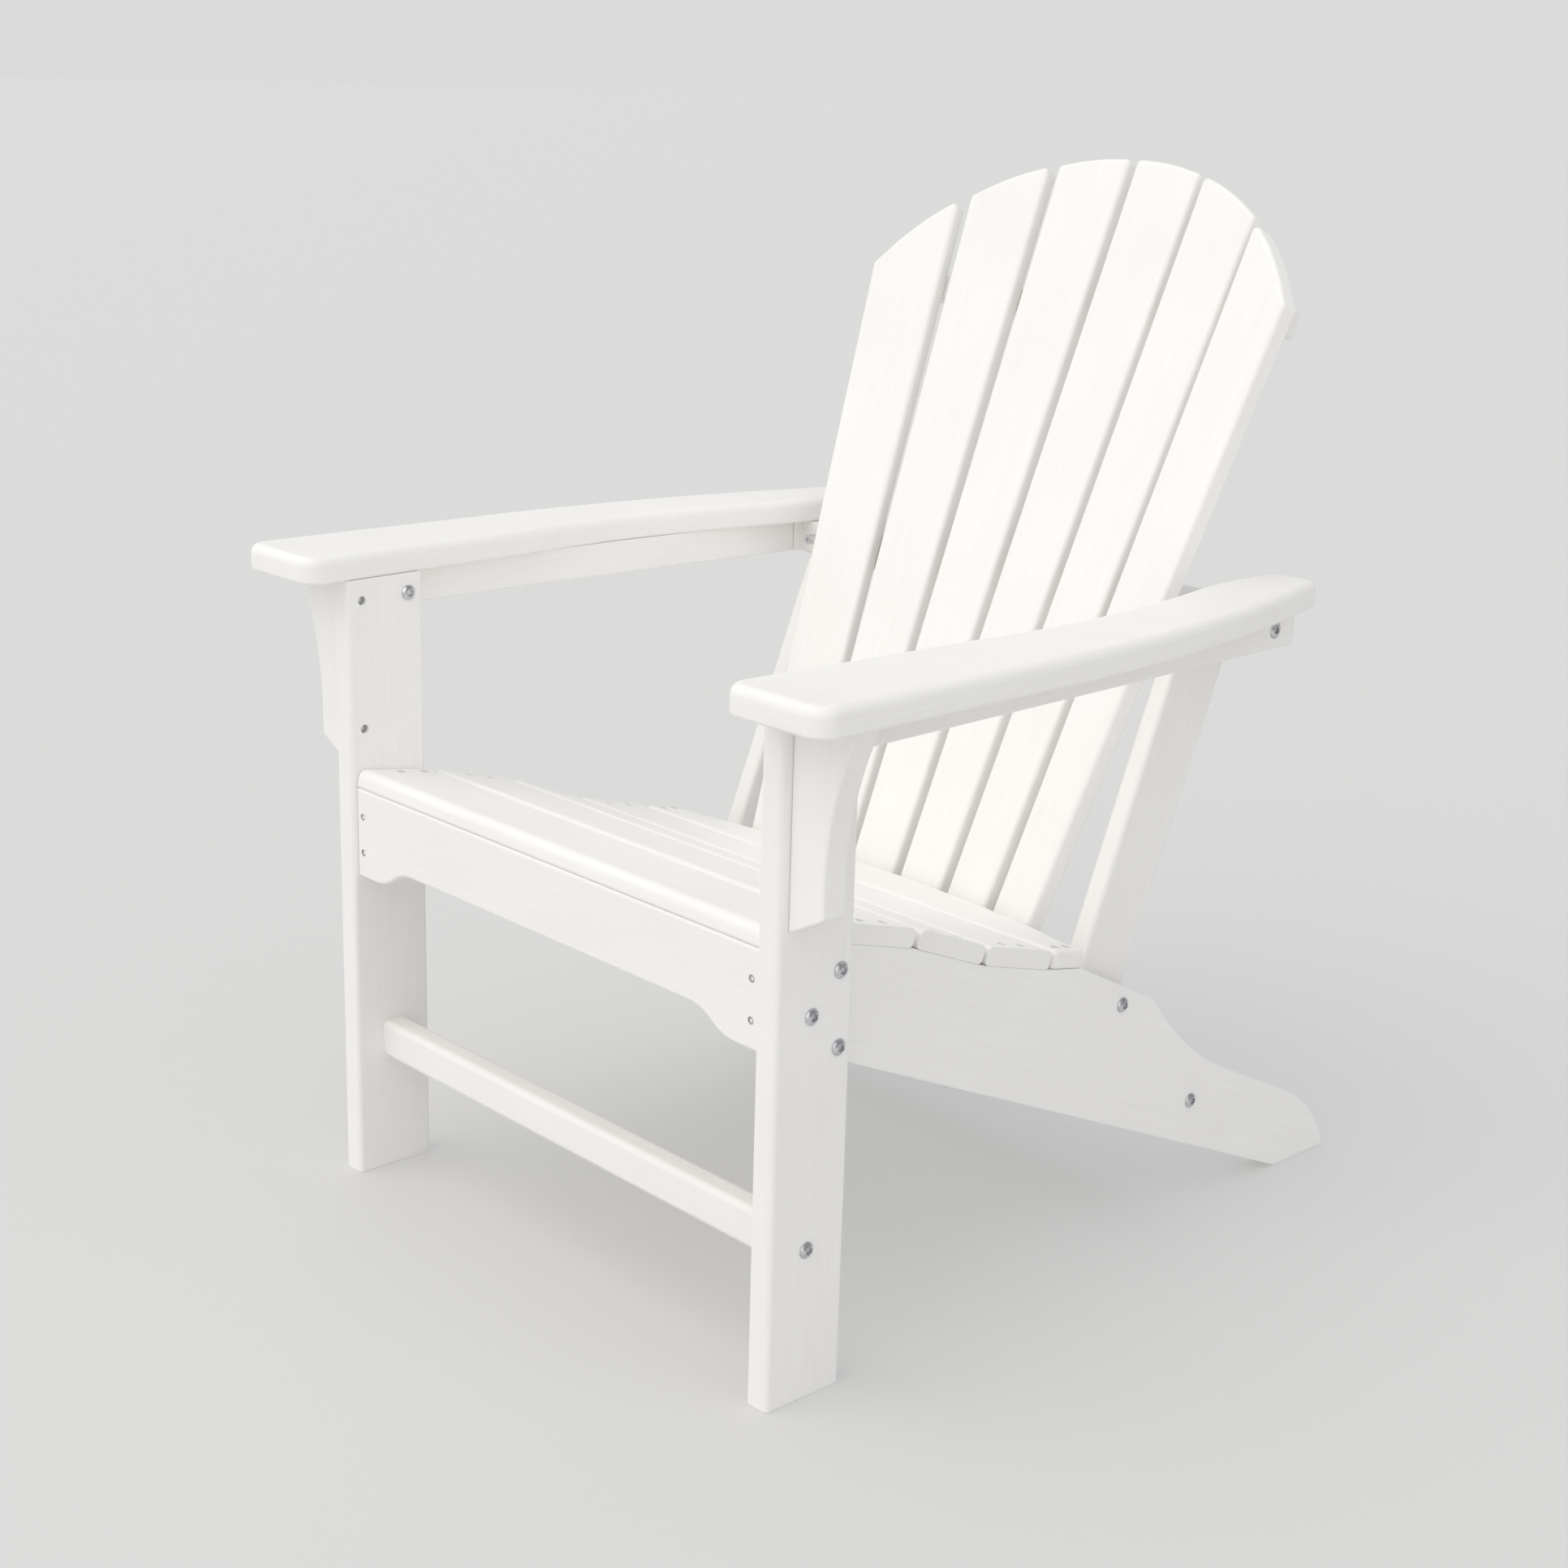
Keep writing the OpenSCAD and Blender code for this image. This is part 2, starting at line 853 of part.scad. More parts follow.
// The arm's two long edges swell in and out: its outer edge is one arc, and its
// inner edge is an arc that turns back into a straight rear end
module arm_outline() {
    front_end = 203;
    reach = arm_back - front_end;
    outer = circle_of(
        [leg_in + 101.3, front_end],
        [leg_in + 83, front_end + reach * 0.52],
        [leg_in + 35, front_end + reach * 0.99]
    );
    inner = circle_of(
        [leg_in + 10.6, front_end],
        [leg_in + 15.2, front_end + reach * 0.27],
        [leg_in + 6.6, front_end + reach * 0.52]
    );
    tail_x = leg_in - 16.3;
    tail_r = 350;
    centre_gap = inner[1] + tail_r;
    tail_c = [
        tail_x + tail_r,
        inner[0][1] + sqrt(pow(centre_gap, 2) - pow(tail_x + tail_r - inner[0][0], 2))
    ];
    turn_y = inner[0][1] + (tail_c[1] - inner[0][1]) * inner[1] / centre_gap;
    in_x = leg_in - 2;
    out_x = leg_in + 105.6;
    rear_x = outer[0][0] + sqrt(pow(outer[1], 2) - pow(arm_back - outer[0][1], 2));
    difference() {
        intersection() {
            translate([tail_x, -arm_over])
                square([out_x - tail_x, arm_back + arm_over]);
            union() {
                translate(outer[0])
                    circle(outer[1], $fn = 360);
                polygon([
                    [tail_x, -arm_over],
                    [out_x, -arm_over],
                    [leg_in + 101.3, front_end],
                    [tail_x, front_end]
                ]);
            }
        }
        intersection() {
            translate(inner[0])
                circle(inner[1], $fn = 360);
            translate([tail_x - 10, front_end])
                square([100, turn_y - front_end]);
        }
        difference() {
            translate([tail_x - 10, turn_y])
                square([60, tail_c[1] - turn_y]);
            translate(tail_c)
                circle(tail_r, $fn = 360);
        }
        polygon([
            [tail_x - 1, -arm_over - 1],
            [in_x, -arm_over - 1],
            [leg_in + 10.6, front_end],
            [tail_x - 1, front_end]
        ]);
        corner_cut([in_x, -arm_over], [1, 1], arm_nose_r);
        corner_cut([out_x, -arm_over], [-1, 1], arm_nose_r);
        corner_cut([tail_x, arm_back], [1, -1], arm_tail_r);
        corner_cut([rear_x, arm_back], [-1, -1], 6);
    }
}

// What is cut away to round a corner at p, the material lying towards side
module corner_cut(p, side, r) {
    difference() {
        translate([p[0] - (side[0] > 0 ? 1 : r), p[1] - (side[1] > 0 ? 1 : r)])
            square(r + 1);
        translate(p + r * side)
            circle(r, $fn = round_n);
    }
}

module arm() {
    translate([0, 0, arm_z])
        linear_extrude(board_t)
            arm_outline();
}

module arm_left() {
    color(board_c)
        placed()
            arm();
}

module arm_right() {
    color(board_c)
        placed()
            mirrored()
                arm();
}

module arm_rail() {
    difference() {
        translate([0, 0, brace_z])
            linear_extrude(arm_rail_h)
                polygon([
                    [leg_out, corbel_back],
                    [leg_out, leg_d],
                    [arm_rail_x(arm_rail_back), arm_rail_back],
                    [arm_rail_x(arm_rail_back) + board_t, arm_rail_back],
                    [arm_rail_x(corbel_back) + board_t, corbel_back]
                ]);
        x_rod(arm_bolt, leg_out - 1, 22, bolt_d + hole_gap);
        at_brace_bolt()
            translate([0, 0, -70])
                cylinder(d = bolt_d + hole_gap, h = 75, $fn = round_n);
        at_brace_bolt()
            translate([0, 0, -1.6])
                cylinder(d = bolt_head_d + 1.6, h = 10, $fn = round_n);
    }
}

module arm_rail_left() {
    color(board_c)
        placed()
            arm_rail();
}

module arm_rail_right() {
    color(board_c)
        placed()
            mirrored()
                arm_rail();
}

module corbel() {
    low = arm_z - corbel_h;
    neck_z = arm_z - corbel_flare;
    reach = corbel_w - corbel_neck;
    flare_r = (pow(corbel_flare, 2) + pow(reach, 2)) / (2 * reach);
    difference() {
        front_plate(corbel_set, board_t)
            difference() {
                polygon([
                    [leg_out, low],
                    [leg_out + corbel_neck, low + 19],
                    [leg_out + corbel_neck, neck_z],
                    [leg_out + corbel_w, neck_z],
                    [leg_out + corbel_w, arm_z],
                    [leg_out, arm_z]
                ]);
                translate([leg_out + corbel_neck + flare_r, neck_z])
                    circle(flare_r, $fn = 180);
            }
        at_corbel_screws()
            screw_hole(42);
    }
}

module corbel_left() {
    color(board_c)
        placed()
            corbel();
}

module corbel_right() {
    color(board_c)
        placed()
            mirrored()
                corbel();
}

// ---------- fasteners ----------

module both_sides() {
    placed()
        for (s = [0, 1])
            mirror([s, 0, 0])
                children();
}

module leg_bolts() {
    color(steel_c)
        both_sides()
            at_leg_bolts()
                bolt(2 * board_t - 3);
}

module stretcher_bolts() {
    color(steel_c)
        both_sides() {
            at_stretcher_bolt()
                bolt(board_t + 50);
            at_rear_bolt()
                bolt(board_t + 50);
        }
}

module post_bolts() {
    color(steel_c)
        both_sides()
            at_post_bolt()
                bolt(board_t + post_gap + post_t);
}

module arm_bolts() {
    color(steel_c)
        both_sides() {
            at_arm_bolt()
                bolt(board_t + 18);
            at_brace_bolt()
                translate([0, 0, -1.6])
                    bolt(board_t + 22);
        }
}

// Nuts that show in the middle brace's front edge
module barrel_nuts() {
    color(steel_c)
        both_sides()
            at_barrel()
                difference() {
                    translate([0, 0, 1])
                        cylinder(d = 10, h = 54, $fn = round_n);
                    cylinder(d = 5, h = 4, $fn = 6);
                    translate([0, 0, 76 - brace_bolt_set])
                        rotate([0, 90, 0])
                            cylinder(d = bolt_d + hole_gap, h = 20, center = true, $fn = round_n);
                }
}

module apron_screws() {
    color(steel_c)
        placed()
            at_apron_screws()
                screw(48);
}

module corbel_screws() {
    color(steel_c)
        both_sides()
            at_corbel_screws()
                screw(40);
}

// The first slat's screws are shorter, to stop above the bolts through the legs
module seat_screws() {
    short_screw = 24;
    color(steel_c)
        placed()
            for (i = [0:4])
                at_seat_screws(i)
                    screw(i == 0 ? short_screw : 32);
}

module back_screws() {
    color(steel_c)
        placed() {
            at_back_screws(lower_s, lower_d)
                screw(lower_d + 10);
            at_mid_screws()
                screw(mid_grip + 10);
            at_back_screws(upper_s, board_t)
                screw(board_t + 10);
        }
}

leg_left();
leg_right();
apron();
front_stretcher();
rear_stretcher();
side_rail_left();
side_rail_right();
seat_slat_1();
seat_slat_2();
seat_slat_3();
seat_slat_4();
seat_slat_5();
post_left();
post_right();
post_spacers();
mid_brace();
upper_brace();
lower_brace();
back_slat_1();
back_slat_2();
back_slat_3();
back_slat_4();
back_slat_5();
back_slat_6();
arm_left();
arm_right();
arm_rail_left();
arm_rail_right();
corbel_left();
corbel_right();
leg_bolts();
stretcher_bolts();
post_bolts();
arm_bolts();
barrel_nuts();
apron_screws();
corbel_screws();
seat_screws();
back_screws();
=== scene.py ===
from math import acos, asin, atan, atan2, cos, pi, radians, sin, sqrt, tan

import bpy
import numpy as np
from mathutils import Matrix, Vector


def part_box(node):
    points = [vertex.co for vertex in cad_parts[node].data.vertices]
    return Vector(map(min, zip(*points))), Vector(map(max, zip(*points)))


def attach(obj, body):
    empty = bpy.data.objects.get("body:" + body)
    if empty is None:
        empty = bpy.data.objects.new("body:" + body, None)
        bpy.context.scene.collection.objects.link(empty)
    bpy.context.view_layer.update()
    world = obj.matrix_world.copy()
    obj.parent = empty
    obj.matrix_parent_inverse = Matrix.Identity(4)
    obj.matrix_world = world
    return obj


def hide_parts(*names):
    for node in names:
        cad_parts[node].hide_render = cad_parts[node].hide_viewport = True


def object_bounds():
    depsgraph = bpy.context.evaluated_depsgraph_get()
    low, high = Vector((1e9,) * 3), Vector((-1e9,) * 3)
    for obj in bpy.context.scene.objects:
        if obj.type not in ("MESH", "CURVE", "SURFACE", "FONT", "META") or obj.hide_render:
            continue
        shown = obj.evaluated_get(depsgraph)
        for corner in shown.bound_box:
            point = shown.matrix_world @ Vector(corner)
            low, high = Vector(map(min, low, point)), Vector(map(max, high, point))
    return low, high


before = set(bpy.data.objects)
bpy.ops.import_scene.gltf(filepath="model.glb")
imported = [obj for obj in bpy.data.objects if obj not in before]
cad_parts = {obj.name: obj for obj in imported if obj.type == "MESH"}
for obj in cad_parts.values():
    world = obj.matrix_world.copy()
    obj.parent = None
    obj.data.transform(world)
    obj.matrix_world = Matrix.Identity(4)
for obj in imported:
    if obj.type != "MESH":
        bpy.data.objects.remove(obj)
cad_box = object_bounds()

# ---------------------------------------------------------------- front legs
# The two front legs are upright 24 x 80 mm boards of solid recycled-plastic lumber with
# rounded long edges. They stand on the floor and carry the apron, the side rails and the
# arms; the corbels are screwed on through them from the inner face.

MM = 0.001
leg_lo, leg_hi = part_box("leg_left")
FRONT = leg_lo[1]                                   # front face of the legs
leg_in, leg_out = leg_lo[0] / MM, leg_hi[0] / MM
leg_d = (leg_hi[1] - leg_lo[1]) / MM
arm_z = leg_hi[2] / MM
board_t = leg_out - leg_in
corbel_screw_y, corbel_screw_z = 15, (arm_z - 19, arm_z - 137)
corbel_hole = (0.0041, 0.0045)                      # radius and depth, in metres

# The three ways a board is drawn: its outline in two directions, its thickness in the third
SIDE = Matrix(((0, 0, MM, 0), (MM, 0, 0, FRONT), (0, MM, 0, 0), (0, 0, 0, 1)))
FACE = Matrix(((MM, 0, 0, 0), (0, 0, MM, FRONT), (0, MM, 0, 0), (0, 0, 0, 1)))
FLAT = Matrix(((MM, 0, 0, 0), (0, MM, 0, FRONT), (0, 0, MM, 0), (0, 0, 0, 1)))
MIRROR = Matrix.Diagonal((-1, 1, 1, 1))
BOTH = (("left", Matrix.Identity(4)), ("right", MIRROR))


def soften(corners, radius, steps=5):
    """Rounds the corners of a closed outline; a corner may bring its own radius."""
    out = []
    count = len(corners)
    for i, corner in enumerate(corners):
        p = Vector(corner[:2])
        a, b = Vector(corners[i - 1][:2]), Vector(corners[(i + 1) % count][:2])
        r = corner[2] if len(corner) > 2 else radius
        u, v = (a - p), (b - p)
        reach = 0.48 * min(u.length, v.length)
        u.normalize()
        v.normalize()
        half = acos(max(-1, min(1, u.dot(v)))) / 2
        if r <= 0 or half > 1.5:
            out.append(p)
            continue
        d = min(r / tan(half), reach)
        c = p + (u + v).normalized() * d / cos(half)
        s, e = p + u * d - c, p + v * d - c
        turn = atan2(s.x * e.y - s.y * e.x, s.dot(e))
        for j in range(steps + 1):
            t = turn * j / steps
            out.append(c + Vector((s.x * cos(t) - s.y * sin(t), s.x * sin(t) + s.y * cos(t))))
    return out


def arc(centre, r, start, end, steps):
    """Points of an arc from one angle to another, both in radians."""
    return [(centre[0] + r * cos(start + (end - start) * j / steps),
             centre[1] + r * sin(start + (end - start) * j / steps)) for j in range(steps + 1)]


def plank(outline, low, high, edge, steps=4):
    """A solid board of one outline from low to high, its two rims rounded by edge."""
    pts = [Vector(p[:2]) for p in outline]
    pts = [p for i, p in enumerate(pts) if (p - pts[i - 1]).length > 0.01]
    area = sum(pts[i - 1].x * p.y - pts[i - 1].y * p.x for i, p in enumerate(pts))
    if area < 0:
        pts.reverse()
    count = len(pts)
    ways = [(pts[(i + 1) % count] - p).normalized() for i, p in enumerate(pts)]

    def drawn_in(inset):
        """The outline drawn in by inset; arcs tighter than that close to one point."""
        ring = []
        for i, p in enumerate(pts):
            a, b = ways[i - 1], ways[i]
            m = Vector((a.y + b.y, -a.x - b.x)) / max(0.3, 1 + a.dot(b))
            ring.append(p - m * inset)
        for _ in range(4):
            bad = [(ring[(i + 1) % count] - ring[i]).dot(ways[i]) < -1e-6 for i in range(count)]
            if not any(bad):
                break
            for i in range(count):
                if bad[i] and not bad[i - 1]:
                    run = 1
                    while bad[(i + run) % count]:
                        run += 1
                    a, b = ways[i - 1], ways[(i + run) % count]
                    p, q = ring[i - 1], ring[(i + run + 1) % count]
                    cross = a.x * b.y - a.y * b.x
                    if abs(cross) < 1e-6:
                        meet = (ring[i] + ring[(i + run) % count]) / 2
                    else:
                        d = q - p
                        meet = p + a * (d.x * b.y - d.y * b.x) / cross
                    for k in range(run + 1):
                        ring[(i + k) % count] = meet.copy()
        return ring

    rings = []
    for j in range(steps + 1):
        t = pi / 2 * j / steps
        rings.append((edge[0] * (1 - sin(t)), low + edge[0] * (1 - cos(t))))
    for j in range(steps + 1):
        t = pi / 2 * (1 - j / steps)
        rings.append((edge[1] * (1 - sin(t)), high - edge[1] * (1 - cos(t))))
    verts = [(p.x, p.y, level) for inset, level in rings for p in drawn_in(inset)]
    faces = [tuple(range(count))[::-1]]
    for k in range(len(rings) - 1):
        for i in range(count):
            j = (i + 1) % count
            faces.append((k * count + i, k * count + j, (k + 1) * count + j, (k + 1) * count + i))
    faces.append(tuple(range((len(rings) - 1) * count, len(rings) * count)))
    return verts, faces


def mesh_object(name, verts, faces):
    mesh = bpy.data.meshes.new(name)
    mesh.from_pydata([tuple(v) for v in verts], [], faces)
    mesh.validate()
    ob = bpy.data.objects.new(name, mesh)
    bpy.context.scene.collection.objects.link(ob)
    return ob


def rod_mesh(centre, axis, r, start, end, sides=32):
    """A round bar along axis, from start to end past its centre, in metres."""
    turn = Vector((0, 0, 1)).rotation_difference(Vector(axis)).to_matrix()
    ring = [(r * cos(2 * pi * i / sides), r * sin(2 * pi * i / sides)) for i in range(sides)]
    verts = [Vector(centre) + turn @ Vector((x, y, z)) for z in (start, end) for x, y in ring]
    faces = [tuple(range(sides))[::-1], tuple(range(sides, 2 * sides))]
    faces += [(i, (i + 1) % sides, sides + (i + 1) % sides, sides + i) for i in range(sides)]
    return verts, faces


def drill(ob, holes):
    """Sinks blind round holes: each is (mouth, way in, radius, depth) in metres."""
    verts, faces = [], []
    for mouth, way, r, depth in holes:
        v, f = rod_mesh(mouth, way, r, -0.004, depth)
        faces += [tuple(i + len(verts) for i in face) for face in f]
        verts += v
    cutter = mesh_object("drill", verts, faces)
    cut = ob.modifiers.new("drill", "BOOLEAN")
    cut.operation, cut.solver, cut.object = "DIFFERENCE", "EXACT", cutter
    deps = bpy.context.evaluated_depsgraph_get()
    mesh = bpy.data.meshes.new_from_object(ob.evaluated_get(deps))
    ob.modifiers.remove(cut)
    ob.data = mesh
    bpy.data.objects.remove(cutter)


def shade(mesh, crease=50):
    """Smooth shading in which every face keeps its own direction and only edges are rounded."""
    mesh.update()
    nv, nl = len(mesh.vertices), len(mesh.loops)
    area = np.empty(len(mesh.polygons))
    normal = np.empty(len(mesh.polygons) * 3)
    vert = np.empty(nl, dtype=np.int64)
    total = np.empty(len(mesh.polygons), dtype=np.int64)
    mesh.polygons.foreach_get("area", area)
    mesh.polygons.foreach_get("normal", normal)
    mesh.polygons.foreach_get("loop_total", total)
    mesh.loops.foreach_get("vertex_index", vert)
    normal = normal.reshape(-1, 3)
    face = np.repeat(np.arange(len(total)), total)
    around = [[] for _ in range(nv)]
    for f, v in zip(face, vert):
        around[v].append(f)
    limit = cos(radians(crease))
    out = np.empty((nl, 3))
    for i in range(nl):
        near = np.array(around[vert[i]])
        keep = near[normal[near] @ normal[face[i]] > limit]
        n = (normal[keep] * area[keep, None]).sum(axis=0)
        size = np.linalg.norm(n)
        out[i] = n / size if size > 0 else normal[face[i]]
    mesh.polygons.foreach_set("use_smooth", [True] * len(mesh.polygons))
    mesh.normals_split_custom_set(out.tolist())


def grain(mesh, along, across):
    """Gives a board its own measure: metres along it, across it and through it."""
    along, across = Vector(along).normalized(), Vector(across).normalized()
    through = along.cross(across)
    co = np.empty(len(mesh.vertices) * 3)
    mesh.vertices.foreach_get("co", co)
    base = co.reshape(-1, 3) @ np.array([along, across, through]).T
    old = mesh.attributes.get("board")
    if old:
        mesh.attributes.remove(old)
    mesh.attributes.new("board", "FLOAT_VECTOR", "POINT").data.foreach_set("vector", base.ravel())


def lumber_material(name, tint=(0.93, 0.918, 0.90)):
    """Warm white plastic lumber: satin, with a fine drawn grain that runs along each board."""
    mat = bpy.data.materials.new(name)
    mat.use_nodes = True
    t = mat.node_tree
    t.nodes.clear()
    node, link = t.nodes.new, t.links.new
    out, skin = node("ShaderNodeOutputMaterial"), node("ShaderNodeBsdfPrincipled")
    link(skin.outputs[0], out.inputs[0])
    board, shift = node("ShaderNodeAttribute"), node("ShaderNodeAttribute")
    add = node("ShaderNodeVectorMath")
    board.attribute_name, shift.attribute_name = "board", "shift"
    add.operation = "ADD"
    link(board.outputs["Vector"], add.inputs[0])
    link(shift.outputs["Vector"], add.inputs[1])

    def noise(scale, detail, rough, size=1.0):
        m, n = node("ShaderNodeMapping"), node("ShaderNodeTexNoise")
        m.inputs["Scale"].default_value = scale
        n.inputs["Scale"].default_value = size
        n.inputs["Detail"].default_value = detail
        n.inputs["Roughness"].default_value = rough
        link(add.outputs[0], m.inputs[0])
        link(m.outputs[0], n.inputs["Vector"])
        return n.outputs["Fac"]

    streak = noise((14, 620, 620), 3, 0.62)          # the drawn grain
    band = noise((2.2, 46, 46), 2, 0.5)              # slow bands across a board
    cloud = noise((9, 9, 9), 2, 0.5)                 # clouding of the melt
    pebble = noise((900, 1100, 1100), 2, 0.5)        # the skin itself
    mixed = node("ShaderNodeMix")
    mixed.data_type = "FLOAT"
    mixed.inputs[0].default_value = 0.2
    link(streak, mixed.inputs[2])
    link(band, mixed.inputs[3])
    tone = node("ShaderNodeMix")
    tone.data_type = "FLOAT"
    tone.inputs[0].default_value = 0.35
    link(mixed.outputs[0], tone.inputs[2])
    link(cloud, tone.inputs[3])
    ramp = node("ShaderNodeValToRGB")
    ramp.color_ramp.elements[0].position = 0.3
    ramp.color_ramp.elements[1].position = 0.68
    r, g, b = tint
    ramp.color_ramp.elements[0].color = (r * 0.955, g * 0.95, b * 0.94, 1)
    ramp.color_ramp.elements[1].color = (min(1, r * 1.02), min(1, g * 1.02), min(1, b * 1.015), 1)
    link(tone.outputs[0], ramp.inputs[0])
    link(ramp.outputs[0], skin.inputs["Base Color"])
    gloss = node("ShaderNodeMapRange")
    gloss.inputs["To Min"].default_value = 0.5
    gloss.inputs["To Max"].default_value = 0.66
    link(mixed.outputs[0], gloss.inputs[0])
    link(gloss.outputs[0], skin.inputs["Roughness"])
    skin.inputs["IOR"].default_value = 1.46
    skin.inputs["Specular IOR Level"].default_value = 0.4
    rise, fine = node("ShaderNodeBump"), node("ShaderNodeBump")
    rise.inputs["Strength"].default_value = 0.22
    rise.inputs["Distance"].default_value = 0.0006
    fine.inputs["Strength"].default_value = 0.10
    fine.inputs["Distance"].default_value = 0.0004
    link(streak, rise.inputs["Height"])
    link(pebble, fine.inputs["Height"])
    link(rise.outputs[0], fine.inputs["Normal"])
    link(fine.outputs[0], skin.inputs["Normal"])
    return mat


lumber = lumber_material("warm white lumber")


def hand_in(ob, material, nodes):
    ob.data.materials.clear()
    ob.data.materials.append(material)
    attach(ob, "root")
    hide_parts(*nodes)


def board(name, outline, low, high, edge, place, nodes, along, across, holes=(), change=None):
    """Makes one board of lumber: shape, holes, shading, grain, finish and frame calls."""
    verts, faces = plank(outline, low, high, edge)
    if change:
        verts = [change(Vector(v)) for v in verts]
    ob = mesh_object(name, [place @ Vector(v) for v in verts], faces)
    if place.determinant() < 0:
        ob.data.flip_normals()
    if holes:
        drill(ob, holes)
    turn = place.to_3x3()
    grain(ob.data, turn @ Vector(along), turn @ Vector(across))
    shade(ob.data)
    hand_in(ob, lumber, nodes)
    return ob


def spot(x, y, z):
    """A place given in millimetres behind the legs' front face."""
    return Vector((x * MM, FRONT + y * MM, z * MM))


leg_section = [(leg_in, 0), (leg_out, 0), (leg_out, leg_d), (leg_in, leg_d)]
for side, hand in BOTH:
    sunk = [(hand @ spot(leg_in, corbel_screw_y, z), hand.to_3x3() @ Vector((1, 0, 0)), *corbel_hole)
            for z in corbel_screw_z]
    board("front_leg_" + side, soften(leg_section, 4.6), 0, arm_z, (1.2, 0.6), hand @ FLAT,
          ["leg_" + side], (0, 0, 1), (0, 1, 0), sunk)

# ---------------------------------------------------------------- apron
# The apron is the wide board across the front, set just behind the legs' front faces under
# the first seat slat. Its lower edge is cut with an ear at each end, and it is screwed to the
# side rails with two sunk screws at each end.

apron_set, seat_z = 4.5, 380.2
apron_low, apron_ear, apron_run = 314.0, 18.0, 27.5
apron_screw_in, apron_screw_z = 9.5, (354, 320)
apron_hole = (0.0034, 0.0010)
first_slope = 9.4                                   # of the first slat, in degrees
ear_end = leg_in - 28
ear_r = (apron_run ** 2 + (apron_ear / 2) ** 2) / apron_ear
ear_sweep = asin(apron_run / ear_r)
half_edge = arc((ear_end - 2 * apron_run, apron_low - ear_r), ear_r, pi / 2, pi / 2 - ear_sweep, 6)
half_edge += arc((ear_end, apron_low - apron_ear + ear_r), ear_r, -pi / 2 - ear_sweep, -pi / 2, 6)[1:]
apron_line = [(-x, z, 0) for x, z in half_edge[::-1]] + [(x, z, 0) for x, z in half_edge]
apron_line += [(leg_in, apron_low - apron_ear), (leg_in, seat_z)]
apron_line += [(-leg_in, seat_z), (-leg_in, apron_low - apron_ear)]


def seat_bevel(v):
    """The apron's top follows the slope of the first slat."""
    if v.y > seat_z - 15:
        v.y -= (v.z - apron_set) * tan(radians(first_slope))
    return v


apron_holes = [(spot(s * (leg_in - apron_screw_in), apron_set, z), (0, 1, 0), *apron_hole)
               for s in (-1, 1) for z in apron_screw_z]
board("apron", soften(apron_line, 0), apron_set, apron_set + board_t, (3.2, 3.2), FACE,
      ["apron"], (1, 0, 0), (0, 1, 0), apron_holes, seat_bevel)

# ---------------------------------------------------------------- stretchers
# Two narrow rails with well-rounded edges tie the frame together low down: one between the
# front legs, one between the side rails behind. Each is held by a bolt at either end.

for name in ("front_stretcher", "rear_stretcher"):
    lo, hi = (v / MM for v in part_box(name))
    y0, y1 = lo[1] - FRONT / MM, hi[1] - FRONT / MM
    section = [(y0, lo[2]), (y1, lo[2]), (y1, hi[2]), (y0, hi[2])]
    board(name, soften(section, 6), lo[0], hi[0], (0.6, 0.6), SIDE, [name], (0, 0, 1), (0, 1, 0))

# ---------------------------------------------------------------- side rails
# The long sled-shaped side rails run from the apron down to the floor behind. Each is sawn
# from one wide board, carries the seat on its dished top edge, and is bolted to the inside of
# a front leg with three bolts.

apron_back = apron_set + board_t
foot_y = (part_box("side_rail_left")[1][1] - FRONT) / MM
rail_in = leg_in - board_t
slopes = (first_slope, 15.7, 22.2, 15.7, 11.2)
facets = (82.5, 89, 89, 89)
seat_pts = [Vector((apron_set, seat_z))]
for reach, slope in zip(facets, slopes):
    seat_pts.append(seat_pts[-1] + reach * Vector((cos(radians(slope)), -sin(radians(slope)))))


def seat_line(y, i):
    return seat_pts[i].y - (y - seat_pts[i].x) * tan(radians(slopes[i]))


last_ear = 43.0                                     # depth of the last slat over the rails
last_cut = seat_pts[4].x + last_ear
shoulder = Vector((last_cut + 103.5, 222.8))
hollow_r, hollow_turn = 316.2, radians(36.2)
heel_r, heel_drop = 147.0, 56.0
belly_z, foot_run, rail_lean = 295.8, 81.5, -0.42
hollow_c = shoulder + hollow_r * Vector((cos(hollow_turn), sin(hollow_turn)))
heel_c = Vector((foot_y - sqrt(heel_r ** 2 - heel_drop ** 2), -heel_drop))
span = heel_c - hollow_c
link_a = atan2(span.y, span.x) - acos((hollow_r + heel_r) / span.length)
rail_line = [(apron_back, belly_z), (foot_y - foot_run, 0, 4), (foot_y, 0, 4)]
rail_line += [(x, y, 0) for x, y in arc(heel_c, heel_r, asin(heel_drop / heel_r), link_a + pi, 10)[1:]]
rail_line += [(x, y, 0) for x, y in arc(hollow_c, hollow_r, link_a, hollow_turn - pi, 24)[1:-1]]
rail_line += [(shoulder.x, shoulder.y, 5), (last_cut, seat_line(last_cut, 4), 6)]
rail_line += [(p.x, p.y, 0) for p in seat_pts[4:0:-1]]
rail_line += [(apron_back, seat_line(apron_back, 0))]
for side, hand in BOTH:
    board("side_rail_" + side, soften(rail_line, 0), rail_in, leg_in, (3.0, 1.5), hand @ SIDE,
          ["side_rail_" + side], (cos(rail_lean), sin(rail_lean), 0),
          (-sin(rail_lean), cos(rail_lean), 0))

# ---------------------------------------------------------------- seat slats
# Five slats of 17 mm lumber lie across the dished rails, each screwed down with two sunk
# screws at either end. Three in the middle are alike and are set out along the dish; the
# first has a fully rounded nose, and the last is cut to the hollow of the back.

slat_t, slat_w, seat_gap = 17.0, 84.0, 5.0
screw_x = leg_in - board_t / 2
screw_rows, first_rows, last_rows = (31.5, 57.5), (39, 65), (16, 30)
slat_hole, slat_screw_floor = (0.0043, 0.0030), 0.0022


